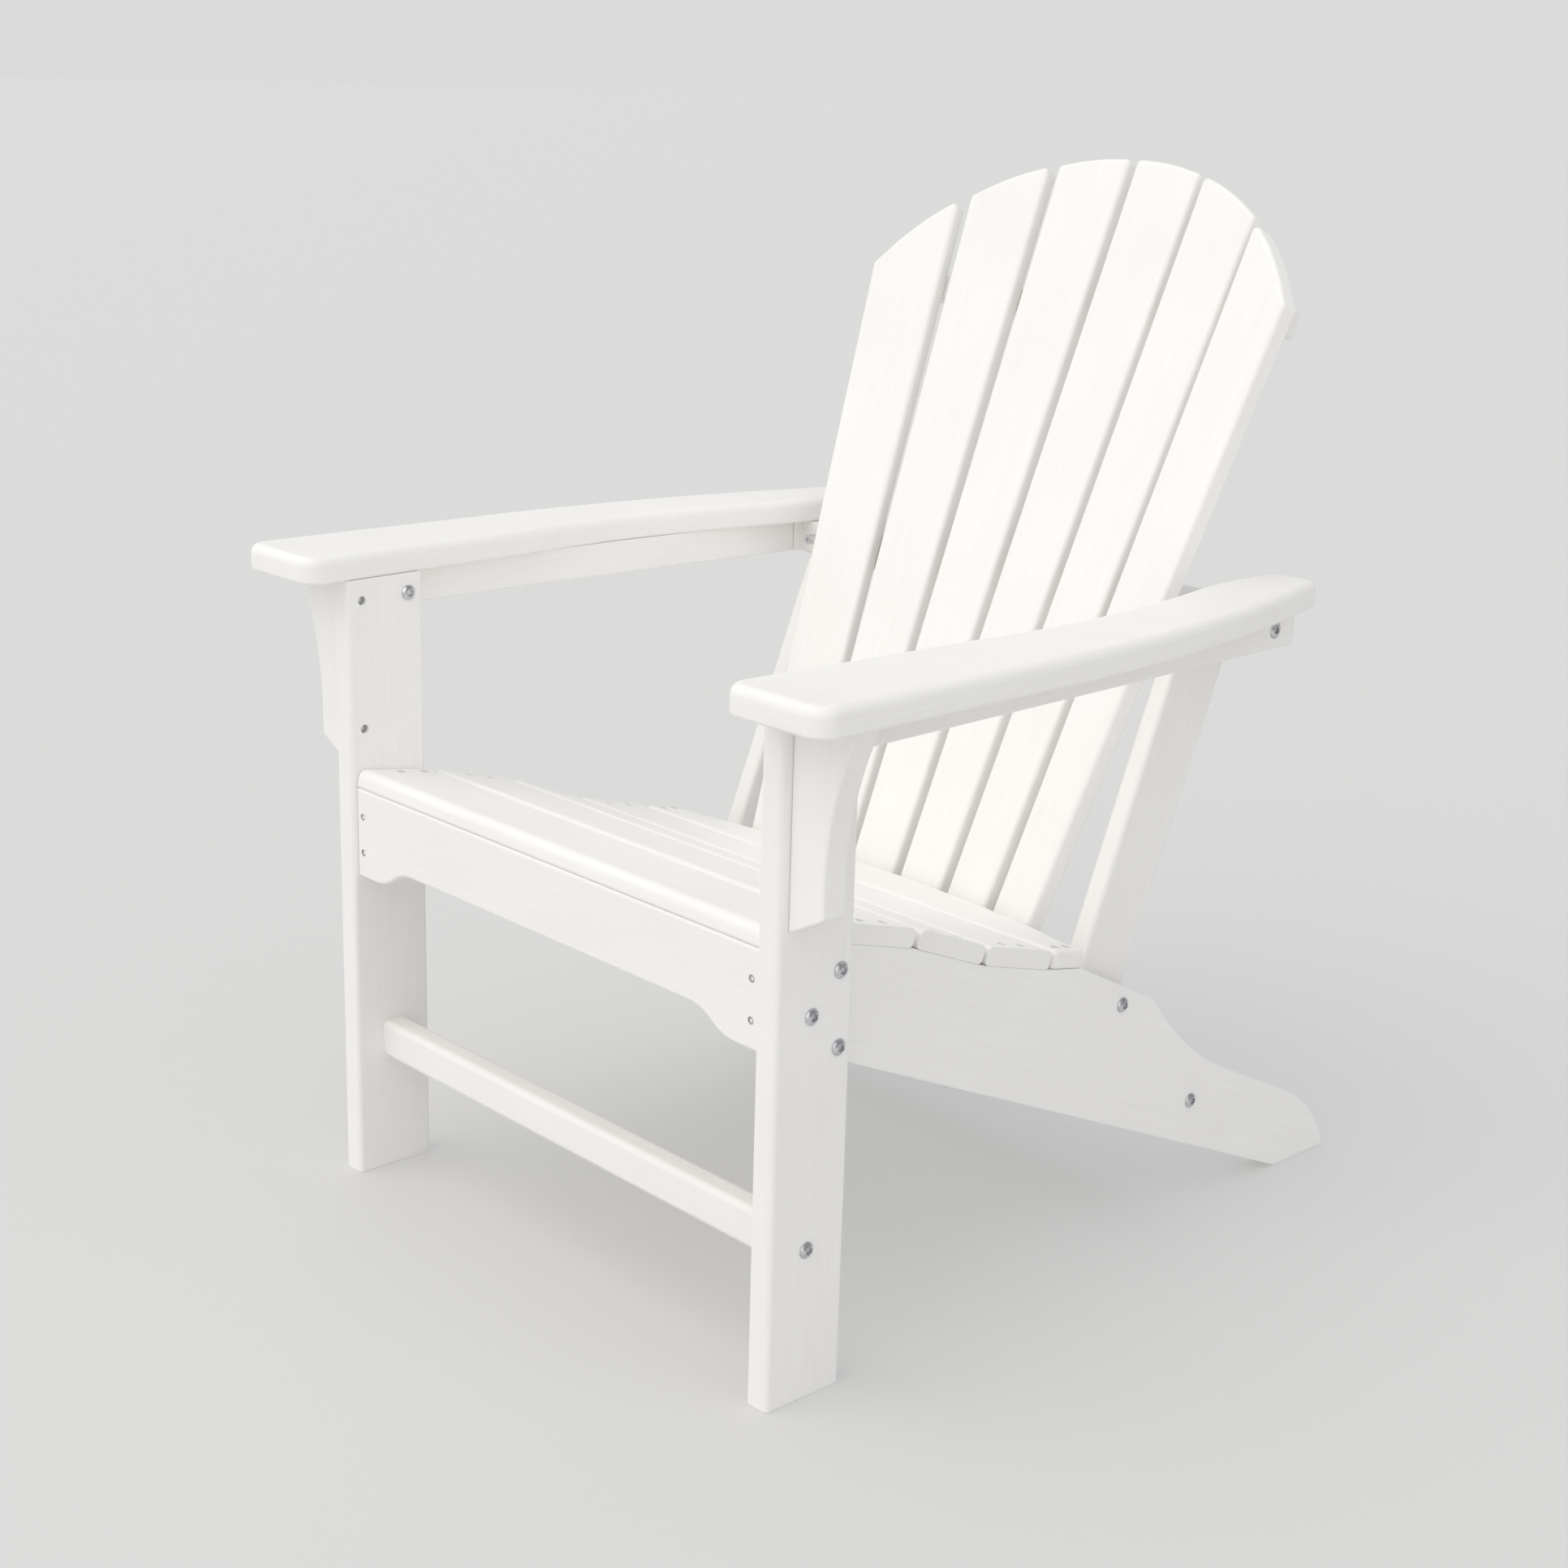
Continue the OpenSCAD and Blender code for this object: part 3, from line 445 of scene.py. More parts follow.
def tree_of(name, sockets):
    """An empty node tree for a Geometry modifier, with named inputs."""
    tree = bpy.data.node_groups.new(name, "GeometryNodeTree")
    face = tree.interface
    face.new_socket("Geometry", in_out="INPUT", socket_type="NodeSocketGeometry")
    for label, kind in sockets:
        face.new_socket(label, in_out="INPUT", socket_type="NodeSocket" + kind)
    face.new_socket("Geometry", in_out="OUTPUT", socket_type="NodeSocketGeometry")
    return tree


def set_out_tree():
    """Sets copies of one template out on marked places, and turns each one its own way."""
    tree = tree_of("set out", (("Size", "Float"), ("Seed", "Int"), ("Grain shift", "Float"),
                               ("Finish", "Material")))
    node, link = tree.nodes.new, tree.links.new
    into, out = node("NodeGroupInput"), node("NodeGroupOutput")
    mark, turn = node("GeometryNodeInputNamedAttribute"), node("GeometryNodeInputNamedAttribute")
    mark.data_type, turn.data_type = "FLOAT", "FLOAT_VECTOR"
    mark.inputs["Name"].default_value, turn.inputs["Name"].default_value = "mark", "turn"
    parted, points = node("GeometryNodeSeparateGeometry"), node("GeometryNodeMeshToPoints")
    euler, copies = node("FunctionNodeEulerToRotation"), node("GeometryNodeInstanceOnPoints")
    chance, store = node("FunctionNodeRandomValue"), node("GeometryNodeStoreNamedAttribute")
    chance.data_type, store.data_type, store.domain = "FLOAT_VECTOR", "FLOAT_VECTOR", "POINT"
    scale = node("ShaderNodeVectorMath")
    scale.operation = "SCALE"
    store.inputs["Name"].default_value = "shift"
    real, finish = node("GeometryNodeRealizeInstances"), node("GeometryNodeSetMaterial")
    link(into.outputs["Geometry"], parted.inputs["Geometry"])
    link(mark.outputs["Attribute"], parted.inputs["Selection"])
    link(parted.outputs["Selection"], points.inputs[0])
    link(into.outputs["Seed"], chance.inputs["Seed"])
    link(chance.outputs["Value"], scale.inputs[0])
    link(into.outputs["Grain shift"], scale.inputs["Scale"])
    link(points.outputs[0], store.inputs["Geometry"])
    link(scale.outputs[0], store.inputs["Value"])
    link(store.outputs[0], copies.inputs["Points"])
    link(parted.outputs["Inverted"], copies.inputs["Instance"])
    link(turn.outputs["Attribute"], euler.inputs[0])
    link(euler.outputs[0], copies.inputs["Rotation"])
    link(into.outputs["Size"], copies.inputs["Scale"])
    link(copies.outputs[0], real.inputs[0])
    link(real.outputs[0], finish.inputs["Geometry"])
    link(into.outputs["Finish"], finish.inputs["Material"])
    link(finish.outputs[0], out.inputs[0])
    return tree


def run_tree(ob, tree, values):
    """Sets a tree's inputs, runs it once and keeps the plain mesh it makes."""
    mod = ob.modifiers.new(tree.name, "NODES")
    mod.node_group = tree
    for item in tree.interface.items_tree:
        if item.in_out == "INPUT" and item.name in values:
            mod[item.identifier] = values[item.name]
    deps = bpy.context.evaluated_depsgraph_get()
    mesh = bpy.data.meshes.new_from_object(ob.evaluated_get(deps))
    ob.modifiers.remove(mod)
    ob.data = mesh


def set_out(name, template, marks, tree, finish, size=1.0, seed=1, shift=0.0):
    """Copies a template onto marks of (place, Euler turn) and returns one plain object."""
    mesh = template.data
    first = len(mesh.vertices)
    mesh.vertices.add(len(marks))
    flags = mesh.attributes.new("mark", "FLOAT", "POINT")
    turns = mesh.attributes.new("turn", "FLOAT_VECTOR", "POINT")
    for i, (place, turn) in enumerate(marks):
        mesh.vertices[first + i].co = place
        flags.data[first + i].value = 1.0
        turns.data[first + i].vector = tuple(turn)
    mesh.update()
    run_tree(template, tree, {"Size": size, "Seed": seed, "Grain shift": shift, "Finish": finish})
    template.name = name
    template.data.name = name
    for label in ("mark", "turn"):
        if template.data.attributes.get(label):
            template.data.attributes.remove(template.data.attributes[label])
    shade(template.data)
    return template


set_out_nodes = set_out_tree()
SLAT = Matrix(((0, 0, MM, 0), (MM, 0, 0, 0), (0, MM, 0, 0), (0, 0, 0, 1)))


def slat_holes(rows, place):
    """Two sunk screws at each end of a slat, square to its top face."""
    way = place.to_3x3() @ Vector((0, -1, 0))
    return [(place @ Vector((d, slat_t, s * screw_x)), way.normalized(), *slat_hole)
            for s in (-1, 1) for d in rows]


middle = soften([(seat_gap / 2, 0, 4.8), (seat_gap / 2 + slat_w, 0, 4.8),
                 (seat_gap / 2 + slat_w, slat_t, 6), (seat_gap / 2, slat_t, 6)], 0)
verts, faces = plank(middle, -leg_in, leg_in, (0.8, 0.8))
slat = mesh_object("seat_slats", [SLAT @ Vector(v) for v in verts], faces)
drill(slat, slat_holes(screw_rows, SLAT))
grain(slat.data, (1, 0, 0), (0, 1, 0))
slat_marks = [(spot(0, seat_pts[i].x, seat_pts[i].y), (radians(-slopes[i]), 0, 0)) for i in (1, 2, 3)]
slats = set_out("seat_slats", slat, slat_marks, set_out_nodes, lumber, seed=3, shift=2.0)
hand_in(slats, lumber, ["seat_slat_2", "seat_slat_3", "seat_slat_4"])

nose_w = slat_w - 4
nose = soften([(0, 0, 3), (nose_w, 0, 4.8), (nose_w, slat_t, 6), (0, slat_t, 9)], 3, 8)
on_first = Matrix.Translation(spot(0, *seat_pts[0])) @ Matrix.Rotation(radians(-slopes[0]), 4, "X") @ SLAT
board("seat_slat_front", nose, 0.5 - leg_in, leg_in - 0.5, (1.4, 1.4), on_first, ["seat_slat_1"],
      (0, 0, 1), (1, 0, 0), slat_holes(first_rows, on_first))

DECK = Matrix(((MM, 0, 0, 0), (0, MM, 0, 0), (0, 0, MM, 0), (0, 0, 0, 1)))
tongue, tongue_reach, tongue_r = rail_in - 54, 79.0, 1000.0
sweep = asin(tongue / tongue_r)
tongue_c = (0, tongue_reach - tongue_r)
last = [(-leg_in, seat_gap / 2, 5), (-leg_in, last_ear, 5), (-rail_in, last_ear, 0)]
last += [(x, y, 0) for x, y in arc(tongue_c, tongue_r, pi / 2 + sweep, pi / 2 - sweep, 24)]
last += [(rail_in, last_ear, 0), (leg_in, last_ear, 5), (leg_in, seat_gap / 2, 5)]
on_last = Matrix.Translation(spot(0, *seat_pts[4])) @ Matrix.Rotation(radians(-slopes[4]), 4, "X") @ DECK
last_way = (on_last.to_3x3() @ Vector((0, 0, -1))).normalized()
last_holes = [(on_last @ Vector((s * screw_x, d, slat_t)), last_way, *slat_hole)
              for s in (-1, 1) for d in last_rows]
board("seat_slat_rear", soften(last, 2), 0, slat_t, (3.5, 4.6), on_last, ["seat_slat_5"],
      (1, 0, 0), (0, 1, 0), last_holes)

# ---------------------------------------------------------------- arm rails
# A narrow rail stands under the outer edge of each arm, from behind the corbel to the back.
# It is bolted to the leg and to the end of the middle brace, and the rear bolt's head is set
# a little into the lumber.

arm_rail_h = 33.0
rail_z = arm_z - arm_rail_h
rail_back = (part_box("arm_rail_left")[1][1] - FRONT) / MM
corbel_set, arm_turn = 9.0, 0.037
corbel_back = corbel_set + board_t


def rail_x(y):
    return leg_out - arm_turn * (y - leg_d)


brace_bolt_y, brace_bolt_z = rail_back - 31.6, arm_z - arm_rail_h / 2 + 1
recess_r, recess_depth = 7.8, 1.6
rail_plan = [(leg_out, corbel_back), (leg_out, leg_d), (rail_x(rail_back), rail_back, 4),
             (rail_x(rail_back) + board_t, rail_back, 5), (rail_x(corbel_back) + board_t, corbel_back)]
for side, hand in BOTH:
    recess = [(hand @ spot(rail_x(brace_bolt_y) + board_t, brace_bolt_y, brace_bolt_z),
               hand.to_3x3() @ Vector((-1, 0, 0)), recess_r * MM, recess_depth * MM)]
    board("arm_rail_" + side, soften(rail_plan, 0), rail_z, arm_z, (3.4, 0.8), hand @ FLAT,
          ["arm_rail_" + side], (0, 1, 0), (0, 0, 1), recess)

# ---------------------------------------------------------------- corbels
# Under the front of each arm a flared corbel props the overhang. It is sawn from the same
# lumber and screwed to the outside of the leg from within.

corbel_w, corbel_neck, corbel_h, corbel_flare = 69.0, 37.0, 172.0, 130.0
flare_reach = corbel_w - corbel_neck
flare_r = (corbel_flare ** 2 + flare_reach ** 2) / (2 * flare_reach)
neck_z = arm_z - corbel_flare
flare = arc((leg_out + corbel_neck + flare_r, neck_z), flare_r, pi,
            pi - asin(corbel_flare / flare_r), 14)
corbel_line = [(leg_out, arm_z - corbel_h), (leg_out + corbel_neck, arm_z - corbel_h + 19, 5)]
corbel_line += [(x, z, 0) for x, z in flare[1:]] + [(leg_out, arm_z)]
for side, hand in BOTH:
    board("corbel_" + side, soften(corbel_line, 0), corbel_set, corbel_back, (2.4, 2.4),
          hand @ FACE, ["corbel_" + side], (0, 1, 0), (1, 0, 0))

# ---------------------------------------------------------------- posts and braces
# Behind the seat two posts lean with the back, bolted inside the side rails. The middle
# brace lies on them level with the arm rails; a curved brace near the crown and one below
# the seat hold the back slats in their fan, with screws driven from behind.

back_lean = radians(23.4)
back_y0, back_z0 = seat_pts[4].x + 88.3, seat_pts[4].y - 0.5
post_t, post_w, post_run = 20.0, 74.0, 0.40
post_out = rail_in - 8
post_in = post_out - post_t
post_bolt_z, post_foot_z = 229.0, 185.0
post_top_y = rail_back - 82.5


def post_y(z):
    return post_top_y + (z - rail_z) * post_run


post_line = [(post_y(post_foot_z), post_foot_z, 6), (post_y(post_foot_z) + post_w, post_foot_z, 6),
             (post_y(rail_z) + post_w, rail_z), (post_y(rail_z), rail_z)]
for side, hand in BOTH:
    board("post_" + side, soften(post_line, 0), post_in, post_out, (4.4, 4.4), hand @ SIDE,
          ["post_" + side], (post_run, 1, 0), (1, -post_run, 0))

LEANING = (Matrix.Translation(spot(0, back_y0, back_z0)) @ Matrix.Rotation(-back_lean, 4, "X") @ DECK)
crown_s = (cad_box[1][2] / MM - back_z0) / cos(back_lean)
upper_s, foot_s = crown_s - 146.5, -68.0
hollow_low, hollow_high, run_s = 1000.0, 731.0, 685.0
pitch_low, pitch_high, back_gap = 63.3, 90.0, 9.0
upper_half = 2.73 * pitch_high
inner_r, outer_r = hollow_high + 0.6, hollow_high + board_t
bow_c = (0, slat_t - hollow_high)
bow = [(x, y, 0) for x, y in arc(bow_c, outer_r, pi / 2 - asin(upper_half / outer_r),
                                 pi / 2 + asin(upper_half / outer_r), 36)]
bow += [(x, y, 0) for x, y in arc(bow_c, inner_r, pi / 2 + asin(upper_half / inner_r),
                                  pi / 2 - asin(upper_half / inner_r), 36)]
bow[0] = bow[0][:2] + (4,)
bow[36] = bow[36][:2] + (4,)


def slat_place(k):
    """Where back slat k stands, k counted from the middle: across, lean, fan and twist."""
    low, high = k * pitch_low, k * pitch_high
    low_off, high_off = low ** 2 / (2 * hollow_low), high ** 2 / (2 * hollow_high)
    fan = atan((high - low) / run_s)
    tip = atan((high_off - low_off) / run_s)
    twist = (atan(low / hollow_low) + atan(high / hollow_high)) / 2
    place = (Matrix.Translation((0, FRONT + back_y0 * MM, back_z0 * MM))
             @ Matrix.Rotation(-back_lean, 4, "X") @ Matrix.Translation((low * MM, -low_off * MM, 0))
             @ Matrix.Rotation(fan, 4, "Y") @ Matrix.Rotation(tip, 4, "X")
             @ Matrix.Rotation(-twist, 4, "Z"))
    return place, fan, twist


slat_ks = [n - 2.5 for n in range(6)]
screw_pair = (-12, 12)                              # the two screws of a slat, across it
brace_holes = []
for k in slat_ks:
    place = slat_place(k)[0]
    way = (place.to_3x3() @ Vector((0, -1, 0))).normalized()
    for d in screw_pair:
        mouth = place @ Vector((d * MM, (slat_t + board_t) * MM, upper_s * MM))
        brace_holes.append((mouth, way, 0.0043, 0.004))
board("upper_brace", soften(bow, 0), upper_s - board_t / 2, upper_s + board_t / 2, (3.6, 3.6), LEANING,
      ["upper_brace"], (1, 0, 0), (0, 0, 1), brace_holes)

mid_z = rail_z + arm_rail_h / 2
mid_r = (hollow_low + hollow_high) / 2
mid_front = []
for j in range(21):
    x = (post_in - 4) * (2 * j / 20 - 1)
    y = back_y0 + (mid_z - back_z0) * tan(back_lean) + slat_t / cos(back_lean) + 0.6 - x ** 2 / (2 * mid_r)
    mid_front.append((x, y, 0))
notch_y, wing_y, horn_y = rail_back - 57, rail_back - 75, rail_back - 70
brace_plan = [(rail_x(notch_y) - 4, notch_y, 0), (rail_x(wing_y) - 0.3, wing_y, 3),
              (rail_x(rail_back) - 0.3, rail_back, 0)]
brace_plan += [(-x, y, r) for x, y, r in brace_plan[::-1]]
brace_plan += [(2 - post_in, horn_y, 0)] + mid_front + [(post_in - 2, horn_y, 0)]


def lean_front(v):
    """The brace's front edge is sawn to the lean of the slats."""
    if abs(v.x) < post_in - 3 and v.y < rail_back - 40:
        v.y += (v.z - mid_z) * tan(back_lean)
    return v


mid_height = 0.402                                  # of the middle brace, along the slats
mid_x = [k * (pitch_low + (pitch_high - pitch_low) * mid_height) + d for k in slat_ks for d in screw_pair]
mid_holes = [(spot(x, rail_back, mid_z), (0, -1, 0), 0.0045, 0.030) for x in mid_x]
board("middle_brace", soften(brace_plan, 0), rail_z, arm_z, (3.0, 0.8), FLAT, ["mid_brace"],
      (1, 0, 0), (0, 1, 0), mid_holes, lean_front)

# ---------------------------------------------------------------- back slats
# Six tapered slats of the same 17 mm lumber make the back. One rule sets them all: each
# leans, fans out and turns a little so that together they make a hollow back, and their
# tops are cut to one round crown.

crown_r, back_edge, tip_r = 311.0, 4.2, 5.0


def slat_outline(k):
    place, fan, twist = slat_place(k)
    low_w, high_w = pitch_low / cos(twist) - back_gap, pitch_high / cos(twist) - back_gap
    grow = (high_w - low_w) / run_s
    rise = crown_s - crown_r
    c = Vector(((-k * pitch_low * cos(fan) - rise * sin(fan)) / cos(twist),
                -k * pitch_low * sin(fan) + rise * cos(fan)))

    def corner(sign):
        s = crown_s
        for _ in range(12):
            s = c.y + sqrt(crown_r ** 2 - (sign * (low_w + grow * s) / 2 - c.x) ** 2)
        return Vector((sign * (low_w + grow * s) / 2, s))

    right, left = corner(1), corner(-1)
    start, end = atan2(right.y - c.y, right.x - c.x), atan2(left.y - c.y, left.x - c.x)
    top = arc(c, crown_r, start, end, 10)
    clear = [p for p in top[1:-1] if min((Vector(p) - right).length, (Vector(p) - left).length) > 24]
    foot = (low_w + grow * foot_s) / 2
    line = [(-foot, foot_s, tip_r), (foot, foot_s, tip_r), (right.x, right.y, tip_r)]
    return soften(line + [(x, y, 0) for x, y in clear] + [(left.x, left.y, tip_r)], 0, 7)


verts, faces, counts = [], [], []
for k in slat_ks:
    v, f = plank(slat_outline(k), 0, slat_t, (back_edge, 1.6))
    faces += [tuple(i + len(verts) for i in face) for face in f]
    # drawn upright: across, through with the front face first, and up the slat
    verts += [(x * MM, z * MM, y * MM) for x, y, z in v]
    counts.append(len(v))
backs = mesh_object("back_slats", verts, faces)
backs.data.flip_normals()
grain(backs.data, (0, 0, 1), (1, 0, 0))
number = backs.data.attributes.new("number", "FLOAT", "POINT")
number.data.foreach_set("value", [k for k, n in zip(slat_ks, counts) for _ in range(n)])


def fan_tree():
    """Sets flat slats up as a hollow, leaning fan, by the number each of them carries."""
    names = ("Lean", "Pitch at seat", "Pitch at crown", "Hollow at seat", "Hollow at crown", "Run",
             "Foot depth", "Foot height")
    tree = tree_of("fan back", [(n, "Float") for n in names] + [("Seed", "Int"), ("Finish", "Material")])
    node, link = tree.nodes.new, tree.links.new
    into, out = node("NodeGroupInput"), node("NodeGroupOutput")

    def calc(kind, *inputs):
        m = node("ShaderNodeMath")
        m.operation = kind
        for i, value in enumerate(inputs):
            if isinstance(value, (int, float)):
                m.inputs[i].default_value = value
            else:
                link(value, m.inputs[i])
        return m.outputs[0]

    def turned(vector, axis, angle):
        r = node("ShaderNodeVectorRotate")
        r.rotation_type = axis + "_AXIS"
        link(vector, r.inputs["Vector"])
        link(angle, r.inputs["Angle"])
        return r.outputs[0]

    def moved(vector, x, y, z):
        joined, add = node("ShaderNodeCombineXYZ"), node("ShaderNodeVectorMath")
        for i, value in enumerate((x, y, z)):
            if value is not None:
                link(value, joined.inputs[i])
        link(vector, add.inputs[0])
        link(joined.outputs[0], add.inputs[1])
        return add.outputs[0]

    which = node("GeometryNodeInputNamedAttribute")
    which.data_type = "FLOAT"
    which.inputs["Name"].default_value = "number"
    k = which.outputs["Attribute"]
    low = calc("MULTIPLY", k, into.outputs["Pitch at seat"])
    high = calc("MULTIPLY", k, into.outputs["Pitch at crown"])
    seat_r, top_r = into.outputs["Hollow at seat"], into.outputs["Hollow at crown"]
    low_off = calc("DIVIDE", calc("MULTIPLY", low, low), calc("MULTIPLY", seat_r, 2.0))
    high_off = calc("DIVIDE", calc("MULTIPLY", high, high), calc("MULTIPLY", top_r, 2.0))
    run = into.outputs["Run"]
    fan = calc("ARCTANGENT", calc("DIVIDE", calc("SUBTRACT", high, low), run))
    tip = calc("ARCTANGENT", calc("DIVIDE", calc("SUBTRACT", high_off, low_off), run))
    twist = calc("MULTIPLY", calc("ADD", calc("ARCTANGENT", calc("DIVIDE", low, seat_r)),
                                  calc("ARCTANGENT", calc("DIVIDE", high, top_r))), -0.5)
    place = node("GeometryNodeInputPosition").outputs[0]
    place = turned(turned(turned(place, "Z", twist), "X", tip), "Y", fan)
    place = moved(place, low, calc("MULTIPLY", low_off, -1.0), None)
    place = turned(place, "X", calc("MULTIPLY", into.outputs["Lean"], -1.0))
    place = moved(place, None, into.outputs["Foot depth"], into.outputs["Foot height"])
    chance, store = node("FunctionNodeRandomValue"), node("GeometryNodeStoreNamedAttribute")
    chance.data_type, store.data_type, store.domain = "FLOAT_VECTOR", "FLOAT_VECTOR", "POINT"
    chance.inputs["Max"].default_value = (3, 3, 3)
    order = node("FunctionNodeFloatToInt")
    link(calc("ADD", k, 10.5), order.inputs[0])
    link(order.outputs[0], chance.inputs["ID"])
    link(into.outputs["Seed"], chance.inputs["Seed"])
    store.inputs["Name"].default_value = "shift"
    stand, real = node("GeometryNodeSetPosition"), node("GeometryNodeRealizeInstances")
    finish = node("GeometryNodeSetMaterial")
    link(into.outputs["Geometry"], store.inputs["Geometry"])
    link(chance.outputs["Value"], store.inputs["Value"])
    link(store.outputs[0], stand.inputs["Geometry"])
    link(place, stand.inputs["Position"])
    link(stand.outputs[0], real.inputs[0])
    link(real.outputs[0], finish.inputs["Geometry"])
    link(into.outputs["Finish"], finish.inputs["Material"])
    link(finish.outputs[0], out.inputs[0])
    return tree


run_tree(backs, fan_tree(), {
    "Lean": back_lean, "Pitch at seat": pitch_low * MM, "Pitch at crown": pitch_high * MM,
    "Hollow at seat": hollow_low * MM, "Hollow at crown": hollow_high * MM, "Run": run_s * MM,
    "Foot depth": FRONT + back_y0 * MM, "Foot height": back_z0 * MM, "Seed": 7, "Finish": lumber})
shade(backs.data)
hand_in(backs, lumber, ["back_slat_%d" % n for n in range(1, 7)])

# ---------------------------------------------------------------- arms
# Each arm is one wide flat board whose edges swell outwards and draw in to the back. Its
# upper rim is well rounded for the hand, its lower rim only eased, and it is screwed down
# on the leg, the corbel, the arm rail and the middle brace.

arm_over, arm_nose_r, arm_tail_r = 41.0, 18.0, 25.0
arm_back = (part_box("arm_left")[1][1] - FRONT) / MM


def circle_of(a, b, c):
    """Circle through three points, as centre and radius."""
    a, b, c = Vector(a), Vector(b), Vector(c)
    d = 2 * (a.x * (b.y - c.y) + b.x * (c.y - a.y) + c.x * (a.y - b.y))
    x = (a.dot(a) * (b.y - c.y) + b.dot(b) * (c.y - a.y) + c.dot(c) * (a.y - b.y)) / d
    y = (a.dot(a) * (c.x - b.x) + b.dot(b) * (a.x - c.x) + c.dot(c) * (b.x - a.x)) / d
    return Vector((x, y)), (a - Vector((x, y))).length


front_end = 203.0
reach = arm_back - front_end
# each edge stands off the leg's inner face by so much at such a share of its length
outer_edge = ((101.3, 0), (83, 0.52), (35, 0.99))
inner_edge = ((10.6, 0), (15.2, 0.27), (6.6, 0.52))
outer_c, outer_r = circle_of(*((leg_in + x, front_end + reach * t) for x, t in outer_edge))
inner_c, inner_r = circle_of(*((leg_in + x, front_end + reach * t) for x, t in inner_edge))
tail_x, tail_r = leg_in - 16.3, 350.0
gap = inner_r + tail_r
tail_c = Vector((tail_x + tail_r, inner_c.y + sqrt(gap ** 2 - (tail_x + tail_r - inner_c.x) ** 2)))
turn_y = inner_c.y + (tail_c.y - inner_c.y) * inner_r / gap


def along_circle(centre, r, side, start, end, steps):
    """Points of a circle between two depths, on its right or left side."""
    out = []
    for j in range(steps + 1):
        y = start + (end - start) * j / steps
        out.append((centre.x + side * sqrt(r ** 2 - (y - centre.y) ** 2), y, 0))
    return out


arm_line = [(leg_in - 2, -arm_over, arm_nose_r), (leg_in + 105.6, -arm_over, arm_nose_r)]
arm_line += along_circle(outer_c, outer_r, 1, front_end, arm_back - 18, 28)
rear_x = along_circle(outer_c, outer_r, 1, arm_back, arm_back, 1)[0][0]
arm_line += [(rear_x, arm_back, 9.5), (tail_x, arm_back, arm_tail_r)]
arm_line += along_circle(tail_c, tail_r, -1, tail_c.y, turn_y, 10)
arm_line += along_circle(inner_c, inner_r, 1, turn_y, front_end, 16)[1:]
for side, hand in BOTH:
    board("arm_" + side, soften(arm_line, 0, 9), arm_z, arm_z + board_t, (3.0, 8.5), hand @ FLAT,
          ["arm_" + side], (0, 1, 0), (1, 0, 0))

# ---------------------------------------------------------------- bolts
# Stainless button-head bolts with a six-lobed socket hold the frame: three through each leg
# into the side rail, one at each end of the stretchers and posts, and two on each arm rail.


def steel_material(name, colour, rough):
    """Turned stainless steel: bright, with fine rings and faint handling marks."""
    mat = bpy.data.materials.new(name)
    mat.use_nodes = True
    t = mat.node_tree
    node, link = t.nodes.new, t.links.new
    skin = t.nodes["Principled BSDF"]
    where, lines, cloud = node("ShaderNodeTexCoord"), node("ShaderNodeTexNoise"), node("ShaderNodeTexNoise")
    lines.inputs["Scale"].default_value = 2600
    lines.inputs["Detail"].default_value = 2
    cloud.inputs["Scale"].default_value = 240
    link(where.outputs["Object"], lines.inputs["Vector"])
    link(where.outputs["Object"], cloud.inputs["Vector"])
    tone = node("ShaderNodeValToRGB")
    tone.color_ramp.elements[0].color = tuple(c * 0.82 for c in colour) + (1,)
    tone.color_ramp.elements[1].color = tuple(colour) + (1,)
    tone.color_ramp.elements[0].position, tone.color_ramp.elements[1].position = 0.35, 0.6
    link(cloud.outputs["Fac"], tone.inputs[0])
    link(tone.outputs[0], skin.inputs["Base Color"])
    spread = node("ShaderNodeMapRange")
    spread.inputs["To Min"].default_value, spread.inputs["To Max"].default_value = rough * 0.7, rough * 1.4
    link(cloud.outputs["Fac"], spread.inputs[0])
    link(spread.outputs[0], skin.inputs["Roughness"])
    skin.inputs["Metallic"].default_value = 1.0
    bump = node("ShaderNodeBump")
    bump.inputs["Strength"].default_value = 0.08
    bump.inputs["Distance"].default_value = 0.0001
    link(lines.outputs["Fac"], bump.inputs["Height"])
    link(bump.outputs[0], skin.inputs["Normal"])
    return mat


steel = steel_material("stainless steel", (0.72, 0.72, 0.74), 0.24)


def lathe(profile, sides, lobes=None):
    """Turns a profile of (radius, height) about the upright axis; lobes shapes some rings."""
    verts, faces = [], []
    for j, (r, z) in enumerate(profile):
        for i in range(sides):
            a = 2 * pi * i / sides
            rr = r * (1 + (0.16 * cos(6 * a) if lobes and j in lobes else 0))
            verts.append((rr * cos(a) * MM, rr * sin(a) * MM, z * MM))
    for j in range(len(profile) - 1):
        for i in range(sides):
            n = (i + 1) % sides
            faces.append((j * sides + i, j * sides + n, (j + 1) * sides + n, (j + 1) * sides + i))
    faces.append(tuple(range(sides))[::-1])
    faces.append(tuple(range((len(profile) - 1) * sides, len(profile) * sides)))
    return verts, faces


head_r, head_h = 7.0, 4.2
dome_r = (head_r ** 2 + head_h ** 2) / (2 * head_h)
bolt_profile = [(3.9, -22), (3.9, 0), (head_r - 0.5, 0), (head_r, 0.35), (head_r - 0.02, 0.7)]
for j in range(7):
    r = head_r - 0.3 - (head_r - 3.9) * j / 6
    bolt_profile.append((r, head_h - dome_r + sqrt(dome_r ** 2 - r ** 2) + 0.15))
top = bolt_profile[-1][1]
bolt_profile += [(3.35, top - 0.05), (3.1, top - 0.5), (3.05, top - 2.4), (1.2, top - 2.7),
                 (0.25, top - 2.5)]
lobed = (len(bolt_profile) - 4, len(bolt_profile) - 3, len(bolt_profile) - 5)

